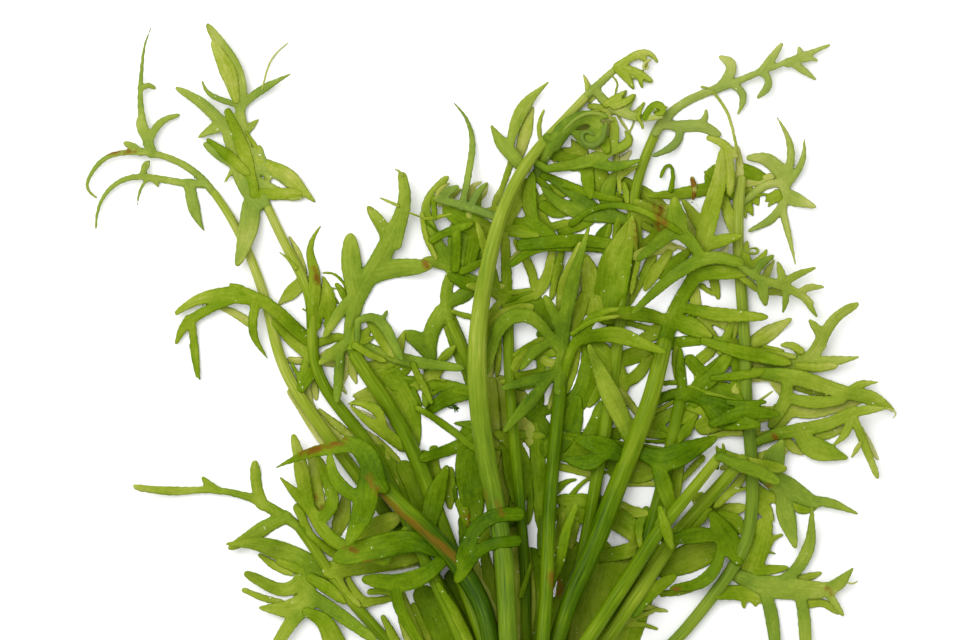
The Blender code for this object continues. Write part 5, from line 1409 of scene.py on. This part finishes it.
def sheet(straps, tones, field, seed, foot=None):
    """Points, faces, surface coordinates, share of the length and tone of one lobed sheet.

    Its middle is the field's height, plus a cup that grows with the square of the distance across, plus a swell of
    two sines. The top and underside lie half the thickness above and below, along a quarter circle at the rim.
    """
    low, x, y, out, kept = straps_on_grid(straps, tones, seed)
    across = np.clip(np.abs(kept["across"]) / np.maximum(kept["half"], NARROW), 0.0, 1.0)
    bowl = across**2 * np.clip(kept["half"] / CUP_WIDE, 0.2, 1.2)
    lift = between(field, table.low, CELL, np.column_stack((x.ravel(), y.ravel()))).reshape(x.shape)
    lift = softened(lift, LIFT_SOFT)
    swell = np.sin(x * SWELL_X + seed) * np.sin(y * SWELL_Y + 3 * seed) * SWELL
    lift = lift + softened(CUP * np.cos(seed * 1.7) * bowl, CUP_SOFT) + swell

    quads, used, plan, rim = outlined(low, x, y, out)
    depth = np.where(rim, 0.0, -out.ravel()[used])
    here = {key: grid.ravel()[used] for key, grid in kept.items()}
    middle = between(lift, low, GRID, plan)
    body = LEAF / 2 * quarter_round(depth / RIM)
    if foot is not None:
        near = np.exp(-np.hypot(*(plan - foot).T) / FOOT_REACH)
        round_across = np.clip(1 - (here["across"] / np.maximum(here["half"], NARROW)) ** 2, 0.0, 1.0)
        body = body + FOOT_THICK * near * np.sqrt(round_across) * np.clip(depth / RIM, 0.0, 1.0)
    rib = np.exp(-((here["across"] / RIB_WIDTH) ** 2)) * np.clip(here["half"] / RIB_HALF, 0.0, 1.0)
    top = np.maximum(middle + body + RIB_HEIGHT * rib, TOP_LOWEST)
    under = np.maximum((middle - body)[~rim], UNDER_LOWEST)
    points = np.vstack((seen(plan, top), seen(plan[~rim], under)))
    lower = np.where(rim, np.arange(len(plan)), np.cumsum(~rim) - 1 + len(plan))
    faces = [quads, lower[quads[:, ::-1]]]
    keep = np.concatenate((np.arange(len(plan)), np.flatnonzero(~rim)))
    place = np.column_stack((here["run"], here["across"], depth))[keep]
    return points, faces, place, here["share"][keep], here["tone"][keep]


print("leaf", LEAF * 1000, "mm thick")

# %% [markdown]
# ## Green, from dark to pale
# The leaf's colour is worked out by nodes from a few numbers kept on each point: a tone from dark to pale, the depth
# in from the rim, the place along and across the lobe, and how brown it is. Painting an image would tie the look to
# one size, and nodes give the fine flecks and veins at any distance. A few short names for nodes come first.

# %% Short names for nodes
def node(tree, kind, **values):
    """A new node of a kind, with its settings."""
    made = tree.nodes.new(kind)
    for key, value in values.items():
        setattr(made, key, value)
    return made


class Shader:
    """Short names for the few kinds of node used here."""

    def __init__(self, name):
        self.material = bpy.data.materials.new(name)
        self.material.use_nodes = True
        self.tree = self.material.node_tree
        self.output = self.tree.nodes["Principled BSDF"]

    def link(self, source, target):
        self.tree.links.new(source, target)

    def attribute(self, name, vector=False):
        made = node(self.tree, "ShaderNodeAttribute", attribute_name=name)
        return made.outputs["Vector" if vector else "Fac"]

    def math(self, operation, a, b=None, c=None):
        made = node(self.tree, "ShaderNodeMath", operation=operation)
        for socket, value in zip(made.inputs, (a, b, c)):
            if value is None:
                continue
            if isinstance(value, (int, float)):
                socket.default_value = value
            else:
                self.link(value, socket)
        return made.outputs[0]

    def swing(self, value, field, amount):
        """The value plus an amount times the field less a half, so an even field changes nothing."""
        return self.math("ADD", value, self.math("MULTIPLY", self.math("SUBTRACT", field, 0.5), amount))

    def rising(self, field, above, factor):
        """The field less a level, times a factor: above nought only where the field is above the level."""
        return self.math("MULTIPLY", self.math("SUBTRACT", field, above), factor)

    def limited(self, value, low, high):
        """The value, but never below low or above high."""
        return self.math("MINIMUM", self.math("MAXIMUM", value, low), high)

    def ramp(self, factor, stops):
        """Colours by factor, each stop a place and a colour."""
        made = node(self.tree, "ShaderNodeValToRGB")
        band = made.color_ramp.elements
        while len(band) < len(stops):
            band.new(0.5)
        for element, (place, colour) in zip(band, stops):
            element.position = place
            element.color = (*colour, 1.0)
        self.link(factor, made.inputs["Fac"])
        return made.outputs["Color"]

    def mix(self, factor, a, b):
        """Colour a turned towards colour b by the factor."""
        made = node(self.tree, "ShaderNodeMix", data_type="RGBA")
        for socket, value in ((made.inputs[0], factor), (made.inputs[6], a), (made.inputs[7], b)):
            if isinstance(value, tuple):
                socket.default_value = (*value, 1.0)
            elif isinstance(value, float):
                socket.default_value = value
            else:
                self.link(value, socket)
        return made.outputs[2]

    def noise(self, vector, scale, detail, stretch=None):
        """Cloudy noise from nought to one, finer with a larger scale, and stretched where the vector is."""
        made = node(self.tree, "ShaderNodeTexNoise")
        made.inputs["Scale"].default_value = scale
        made.inputs["Detail"].default_value = detail
        if stretch:
            mapping = node(self.tree, "ShaderNodeMapping")
            mapping.inputs["Scale"].default_value = stretch
            self.link(vector, mapping.inputs["Vector"])
            vector = mapping.outputs["Vector"]
        self.link(vector, made.inputs["Vector"])
        return made.outputs["Fac"]

    def place(self):
        return node(self.tree, "ShaderNodeTexCoord").outputs["Object"]

    def bump(self, height, strength, distance):
        """Let the light fall as if the surface rose with the height."""
        made = node(self.tree, "ShaderNodeBump")
        made.inputs["Strength"].default_value = strength
        made.inputs["Distance"].default_value = distance
        self.link(height, made.inputs["Height"])
        self.link(made.outputs["Normal"], self.output.inputs["Normal"])

    def finish(self, colour, roughness, shine):
        """Give the surface its colour, roughness and shine."""
        self.link(colour, self.output.inputs["Base Color"])
        self.output.inputs["Roughness"].default_value = roughness
        self.output.inputs["Specular IOR Level"].default_value = shine
        return self.material


print("short names", [name for name in vars(Shader) if not name.startswith("_")])

# %% [markdown]
# One row of greens serves leaves and stalks, from the dark heart of the bunch, which is painted shade, to its pale
# rim, which is painted light. A pale grey-green is mixed into some pieces, pale specks are painted highlights on drops
# of water, and old tissue is brown.

# %% Greens
GREENS = (
    (0.0, (0.020, 0.055, 0.0)),
    (0.2, (0.062, 0.126, 0.0)),
    (0.4, (0.128, 0.208, 0.003)),
    (0.6, (0.226, 0.292, 0.018)),
    (0.8, (0.370, 0.394, 0.080)),
    (1.0, (0.570, 0.570, 0.250)),
)
PALE_GREY_GREEN = (0.420, 0.460, 0.260)
PAINTED_GLINT = (0.720, 0.760, 0.560)
BROWN = (0.165, 0.082, 0.006)
BUMP_DEPTH = 0.0003
print("greens", len(GREENS))

# %% [markdown]
# A leaf is cloudy in large and flecked in small, has fine veins along its run and a rim a little darker. Brown comes
# in stains, so the brown kept on the points is broken up by noise. Small pale specks, painted highlights that stand
# for glints on drops of water, lie here and there where another noise is high. The leaf is wet, so its roughness is
# low.

# %% Leaf green
RIM_FADE, RIM_DARKER = 1800.0, 0.06


def leaf_material():
    """Tone plus cloud, fleck and veins, less the rim, looked up in the greens, then grey-green, brown and painted
    glints.
    """
    made = Shader("leaf_green_wet")
    spot = made.place()
    surface = made.attribute("place", vector=True)
    parts = node(made.tree, "ShaderNodeSeparateXYZ")
    made.link(surface, parts.inputs[0])
    fleck = made.noise(spot, scale=900.0, detail=2.0)
    veins = made.noise(surface, scale=1.0, detail=2.0, stretch=(130.0, 1500.0, 0.0))
    tone = made.swing(made.attribute("tone"), made.noise(spot, scale=90.0, detail=4.0), amount=0.55)
    tone = made.swing(tone, fleck, amount=0.22)
    inward = made.math("MULTIPLY", parts.outputs["Z"], RIM_FADE)
    rim = made.math("SUBTRACT", 1.0, made.math("MINIMUM", inward, 1.0))
    tone = made.math("SUBTRACT", tone, made.math("MULTIPLY", rim, RIM_DARKER))
    tone = made.swing(tone, veins, amount=0.32)
    colour = made.mix(made.attribute("grey"), made.ramp(tone, GREENS), PALE_GREY_GREEN)
    stain = made.rising(made.noise(spot, scale=420.0, detail=4.0), above=0.36, factor=5.0)
    patch = made.math("MULTIPLY", made.attribute("brown"), made.limited(stain, low=0.0, high=1.0))
    colour = made.mix(made.math("MINIMUM", patch, 1.0), colour, BROWN)
    # Painted highlights: pale specks that stand for glints on drops of water.
    painted_glint = made.rising(made.noise(spot, scale=760.0, detail=1.0), above=0.765, factor=30.0)
    colour = made.mix(made.limited(painted_glint, low=0.0, high=0.55), colour, PAINTED_GLINT)
    height = made.math("ADD", veins, made.math("MULTIPLY", fleck, 0.4))
    made.bump(height, strength=0.30, distance=BUMP_DEPTH)
    return made.finish(colour, roughness=0.40, shine=0.035)


leaf_green = leaf_material()
print("nodes in the leaf green", len(leaf_green.node_tree.nodes))

# %% [markdown]
# A stalk is striped lengthwise, broadly and finely. The noise is stretched along the stalk's own run, so the striping
# follows it round every bend. Its pale streaks are partly the stalk's own colour and partly painted highlights, the
# sheen of its wet skin. Brown streaks lie between the fine ones.

# %% Stalk green
def stalk_material():
    """Tone plus broad and fine striping, partly painted highlight streaks of wet sheen, and cloud, looked up in the
    greens, then the grey-green and brown streaks.
    """
    made = Shader("stalk_green_wet")
    surface = made.attribute("place", vector=True)
    # The pale of this striping is partly painted highlight, the sheen of the wet skin.
    broad_stripes_and_sheen = made.noise(surface, scale=1.0, detail=4.0, stretch=(55.0, 3.2, 0.0))
    fine = made.noise(surface, scale=1.0, detail=2.0, stretch=(160.0, 11.0, 0.0))
    tone = made.swing(made.attribute("tone"), broad_stripes_and_sheen, amount=0.55)
    tone = made.swing(tone, fine, amount=0.40)
    tone = made.swing(tone, made.noise(made.place(), scale=60.0, detail=3.0), amount=0.35)
    colour = made.mix(made.attribute("grey"), made.ramp(tone, GREENS), PALE_GREY_GREEN)
    streak = made.math("MAXIMUM", made.rising(fine, above=0.36, factor=4.5), 0.15)
    brown = made.math("MINIMUM", made.math("MULTIPLY", made.attribute("brown"), streak), 1.0)
    colour = made.mix(brown, colour, BROWN)
    made.bump(fine, strength=0.25, distance=BUMP_DEPTH)
    return made.finish(colour, roughness=0.34, shine=0.06)


MATERIALS = [stalk_material(), leaf_green]
STALK_LOOK, LEAF_LOOK = 0, 1
print("materials", [material.name for material in MATERIALS])

# %% [markdown]
# ## Painted shade and light, and brown, from a point's place
# The bunch is painted dark in its heart, as the shade where the leaves stand thick, and painted pale at its rim, as
# the light that shines through its outer leaves, most of all at the right. That is one smooth change over the whole
# bunch, so it is worked out from the place. The brown marks are drawn as lines with a soft edge.

# %% Painted shade and light, and brown
HEART = (500, 520)
SPREAD = (330 * STEP, 450 * STEP)
HEART_SHADE_TONE, RIM_LIGHT_TONE = 0.13, 0.50
LEFT_END, RIGHT_END = 0.95, 1.5
BROWN_EDGE = 1.5


def painted_shade_and_light_at(points):
    """Painted shade and light: the heart's tone plus the rim's times the distance from it, in radii of an ellipse, up
    to an end.
    """
    away = (points[:, :2] + ORIGIN - flat(HEART)) / SPREAD
    end = np.where(away[:, 0] < 0.0, LEFT_END, RIGHT_END)
    return HEART_SHADE_TONE + RIM_LIGHT_TONE * np.minimum(np.hypot(*away.T), end)


def brown_at(name, points):
    """How brown each point is: the amount on a mark's line, falling to nought at its reach."""
    found = np.zeros(len(points))
    plan = points[:, :2] + ORIGIN
    for owner, first, last, reach, amount in MARKS:
        if owner == name:
            start, way = flat(first), flat(last) - flat(first)
            share = np.clip((plan - start) @ way / (way @ way), 0.0, 1.0)
            away = np.hypot(*(plan - start - share[:, None] * way).T)
            share = np.clip(BROWN_EDGE - BROWN_EDGE * away / (reach * STEP), 0.0, 1.0)
            found = np.maximum(found, amount * share)
    return found


print("tone", HEART_SHADE_TONE, "in the heart, up to", HEART_SHADE_TONE + RIM_LIGHT_TONE * RIGHT_END, "at the right")

# %% [markdown]
# ## One piece of the plant as one mesh
# Everything that belongs to a node is joined into one mesh: its tube or sheet, its small lobes and its threads.
# The arrays are stacked, each face list shifted by the points before it. Joining objects in Blender would do the
# same, but it is slower and loses track of which numbers belong to which part.

# %% Joining the parts of a piece
def store(mesh, key, values, kind="FLOAT", field="value"):
    """Keep a number, or a vector, on each point under a name that the materials read."""
    mesh.attributes.new(key, kind, "POINT").data.foreach_set(field, values.astype(np.float32))


def piece(name, parts):
    """One object from parts, each the points, faces, surface coordinates, tone, look and greyness."""
    mesh = bpy.data.meshes.new(name + "_skin")
    points = np.vstack([part[0] for part in parts])
    starts = np.cumsum([0] + [len(part[0]) for part in parts])
    corners, totals, looks = [], [], []
    for start, part in zip(starts, parts):
        for faces in part[1]:
            corners.append((faces + start).ravel())
            totals.append(np.full(len(faces), faces.shape[1]))
            looks.append(np.full(len(faces), part[4]))
    corners, totals, looks = (np.concatenate(rows) for rows in (corners, totals, looks))
    mesh.vertices.add(len(points))
    mesh.vertices.foreach_set("co", points.ravel())
    mesh.loops.add(len(corners))
    mesh.loops.foreach_set("vertex_index", corners.astype(np.int32))
    mesh.polygons.add(len(totals))
    mesh.polygons.foreach_set("loop_start", (np.cumsum(totals) - totals).astype(np.int32))
    mesh.polygons.foreach_set("material_index", looks.astype(np.int32))
    mesh.polygons.foreach_set("use_smooth", np.ones(len(totals), dtype=bool))
    mesh.update(calc_edges=True)
    store(mesh, "place", np.concatenate([part[2].ravel() for part in parts]), "FLOAT_VECTOR", "vector")
    # The tone carries the painted shade of the heart and the painted light of the rim.
    store(mesh, "tone", np.concatenate([part[3].ravel() for part in parts]) + painted_shade_and_light_at(points))
    store(mesh, "grey", np.concatenate([np.full(len(part[0]), part[5]) for part in parts]))
    store(mesh, "brown", brown_at(name, points))
    for material in MATERIALS:
        mesh.materials.append(material)
    made = bpy.data.objects.new(name + "_skin", mesh)
    scene.collection.objects.link(made)
    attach(made, "root")
    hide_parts(name)
    return made


print("brown marks on", len({mark[0] for mark in MARKS}), "pieces")

# %% [markdown]
# ## Stalks
# A stalk is a tube on its laid line. The solids end at the crown's face, so here each stalk is carried on to a point
# inside the crown, and the bend is smoothed. Its tone wavers a little along it.

# %% Stalks
ROOT_SHARE = 0.45
ROOT_BEND = 12
SOFT_LINE, SOFT_WIDTH = 5, 8
RIDGES = 0.03
ON_TABLE = 0.00003
TONE_WAVER = 0.08
crown_low, crown_high = (np.array(corner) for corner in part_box("crown"))
crown_middle, crown_half = (crown_low + crown_high) / 2, (crown_high - crown_low) / 2


def rooted(path, radius):
    """The path carried on from its foot to a point inside the crown, with the bend smoothed."""
    start = crown_middle + np.clip(path[0] - crown_middle, -ROOT_SHARE * crown_half, ROOT_SHARE * crown_half)
    start[1] = crown_middle[1]
    back = int(np.linalg.norm(path[0] - start) / DENSE)
    bridge = start + (path[0] - start) * np.linspace(0.0, 1.0, back, endpoint=False)[:, None]
    path = np.vstack((bridge, path))
    bend = back + ROOT_BEND
    path[:bend] = smoothed(path[:bend], SOFT_LINE)
    return path, np.concatenate((np.full(back, radius[0]), radius))


def stalk_part(name, widths):
    """A stalk's tube, drawn on its laid line with the corners smoothed. It starts inside the crown."""
    line, heights = table.lines[name]
    line = smoothed(smoothed(line, SOFT_LINE), SOFT_LINE)
    path, radius = rooted(seen(line, smoothed(heights, SOFT_LINE)), smoothed(stalks[name][1], SOFT_WIDTH) / 2)
    points, faces, place, share = tube(path, radius, RIDGES)
    points[:, 2] = np.maximum(points[:, 2], ON_TABLE)
    tone = TONES.get(name, 0.0) + TONE_WAVER * np.sin(share * 9 + seeds[name])
    return points, faces, place, tone, STALK_LOOK, GREYS.get(name, 0.0)


print("crown from", np.round(crown_low * 1000, 1), "to", np.round(crown_high * 1000, 1), "mm")

# %% [markdown]
# ## Filling leaves and threads
# The filling leaves are made in their order from the table up, because each one is part of the pile for the next.
# Lobes are paler towards their tips, so the tone rises with the square of the share of the length.

# %% Filling leaves as sheets
TIP_PALER = 0.08
filling = {}


def shade_tone(shade):
    """The tone that a shade from nought to one stands for: 0.8 of what it is above 0.4."""
    return 0.8 * (shade - 0.4)


def paler_tips(tone, share):
    """The tone plus a little times the square of the share of the length."""
    return tone + TIP_PALER * np.clip(share, 0.0, 1.0) ** 2


def fill_part(number, row):
    """A filling leaf's sheet. It is then part of the pile for the leaves that come after it."""
    owner, rank, shade, *rows = row
    straps = [smooth_strap(line[:3], line[3:]) for line in rows]
    covered, field = lay_fill(table, straps, rank)
    top = np.where(covered, field + LEAF / 2, table.bare())
    table.levels["fill_%d" % number] = (rank, top, LEAF)
    points, faces, place, share, tone = sheet(straps, np.full(len(straps), shade_tone(shade)), field, number)
    return points, faces, place, paler_tips(tone, share), LEAF_LOOK, 0.0


fills = [(owner, *row) for owner, rows in FILLS.items() for row in rows]
for number, row in enumerate(sorted(fills, key=lambda row: row[1])):
    filling.setdefault(row[0], []).append(fill_part(number, row))
print("filling leaves laid", len(fills))

# %% [markdown]
# Threads are tubes, and the uncoiling tips of young leaves are threads wound up. They lie on whatever is beneath.

# %% Threads as tubes
THREAD_LEAST = 0.00012
THREAD_LIFT = 0.0001
THREAD_SIDES = 10
THREAD_GREY = 0.1
THREAD_SOFT = 6


def thread_part(row):
    """A thread or a coiled tip: a thin tube at the height of the pile beneath it."""
    owner, rank, shade, traced = row
    line, width = smooth_strap(traced[:3], traced[3:])
    line, width = line[::2], width[::2]
    covered, field = lay_fill(table, [(line, width)], rank)
    radius = np.maximum(width / 2, THREAD_LEAST)
    height = smoothed(between(field, table.low, CELL, line), min(THREAD_SOFT, len(line) // 3))
    path = seen(line, np.maximum(height, radius + THREAD_LIFT))
    points, faces, place, _ = tube(path, radius, 0.0, THREAD_SIDES)
    return points, faces, place, np.full(len(points), shade_tone(shade)), LEAF_LOOK, THREAD_GREY


for row in THREADS:
    filling.setdefault(row[0], []).append(thread_part(row))
print("threads laid", len(THREADS))

# %% [markdown]
# Each stalk is joined with the filling leaves and threads that ride with it.

# %% Stalks with their leaves
total = 0
for name, _, widths, _ in STALKS:
    made = piece(name, [stalk_part(name, widths), *filling.pop(name, [])])
    total += len(made.data.polygons)
print("stalk faces", total)

# %% [markdown]
# ## Blades
# A blade is one sheet for all its lobes, with the small lobes among them. Its first lobe is carried on into the
# stalk, so no gap shows there. Each lobe has a slightly different tone, as lobes turned differently to the light do.

# %% Blades as sheets
LOBE_TONES = 0.07


def blade_part(row):
    """A blade's sheet with its small lobes, starting inside the stalk that it grows from."""
    name, _, parent, _, rows = row
    straps = [smooth_strap(line[:3], line[3:]) for line in (*rows, *LOBES.get(name, ()))]
    stem = stalks[parent][0]
    foot = stem[np.argmin(np.hypot(*(stem - straps[0][0][0]).T))]
    first_line, first_width = straps[0]
    back = max(2, int(np.hypot(*(first_line[0] - foot)) / FINE))
    bridge = foot + (first_line[0] - foot) * np.linspace(0.0, 1.0, back, endpoint=False)[:, None]
    straps[0] = (np.vstack((bridge, first_line)), np.concatenate((np.full(back, first_width[0]), first_width)))
    rng = np.random.default_rng(seeds[name])
    tones = TONES.get(name, 0.0) + rng.uniform(-LOBE_TONES, LOBE_TONES, len(straps))
    points, faces, place, share, tone = sheet(straps, tones, table.fields[name], seeds[name], foot)
    return points, faces, place, paler_tips(tone, share), LEAF_LOOK, GREYS.get(name, 0.0)


total = 0
for row in BLADES:
    made = piece(row[0], [blade_part(row), *filling.pop(row[0], [])])
    total += len(made.data.polygons)
print("blade faces", total)

# %% [markdown]
# ## The crown
# The stalks all spring from a short lump of stem. It lies outside the picture, so it is kept plain: a rounded lump
# with a flat underside and a skin of old, brown stalk bases.

# %% Crown
CROWN_SIDES, CROWN_RINGS = 96, 60
GROOVES, GROOVE_DEPTH = 4.5, 0.07
AXIS_HEIGHT, END_HEIGHT = 0.0098 * 0.9, 0.009
FULLNESS = 1.04
CROWN_LIFT = 0.00002
turn = np.linspace(0.0, 2 * np.pi, CROWN_SIDES, endpoint=False)
run = np.linspace(-1.0, 1.0, CROWN_RINGS)[1:-1]
profile = (1 - np.abs(run) ** 4) ** 0.25
fading = np.clip(1.2 - run[:, None] ** 2, 0.0, 1.0)
ring = profile[:, None] * (1 - GROOVE_DEPTH * np.abs(np.sin(turn[None] * GROOVES + run[:, None] * 2)) * fading)
across = crown_middle[0] + crown_half[0] * ring * np.cos(turn)
along = np.broadcast_to(crown_middle[1] + crown_half[1] * run[:, None], ring.shape)
upwards = np.maximum(AXIS_HEIGHT + crown_half[2] * FULLNESS * ring * np.sin(turn), CROWN_LIFT)
points = np.stack((across, along, np.minimum(upwards, crown_high[2])), axis=-1).reshape(-1, 3)
ends = [(crown_middle[0], end, END_HEIGHT) for end in (crown_low[1], crown_high[1])]
points = np.vstack((points, ends))
print("crown", [round(v * 1000, 1) for v in crown_half * 2], "mm")

# %% [markdown]
# The rings are joined by squares, and each end is closed by a fan of triangles.

# %% Crown as a mesh
count, sides = ring.shape
index = np.arange(count * sides).reshape(count, sides)
after = np.roll(index, -1, axis=1)
quads = np.stack((index[:-1], after[:-1], after[1:], index[1:]), axis=-1).reshape(-1, 4)
first = np.stack((np.full(sides, count * sides), after[0], index[0]), axis=-1)
last = np.stack((np.full(sides, count * sides + 1), index[-1], after[-1]), axis=-1)
round_it = np.arctan2(points[:, 2] - END_HEIGHT, points[:, 0] - crown_middle[0])
place = np.column_stack((points[:, 1], round_it, points[:, 2]))
made = piece("crown", [(points, [quads, first, last], place, np.zeros(len(points)), STALK_LOOK, 0.0)])
print("crown faces", len(made.data.polygons))

# %% [markdown]

# %% [markdown]
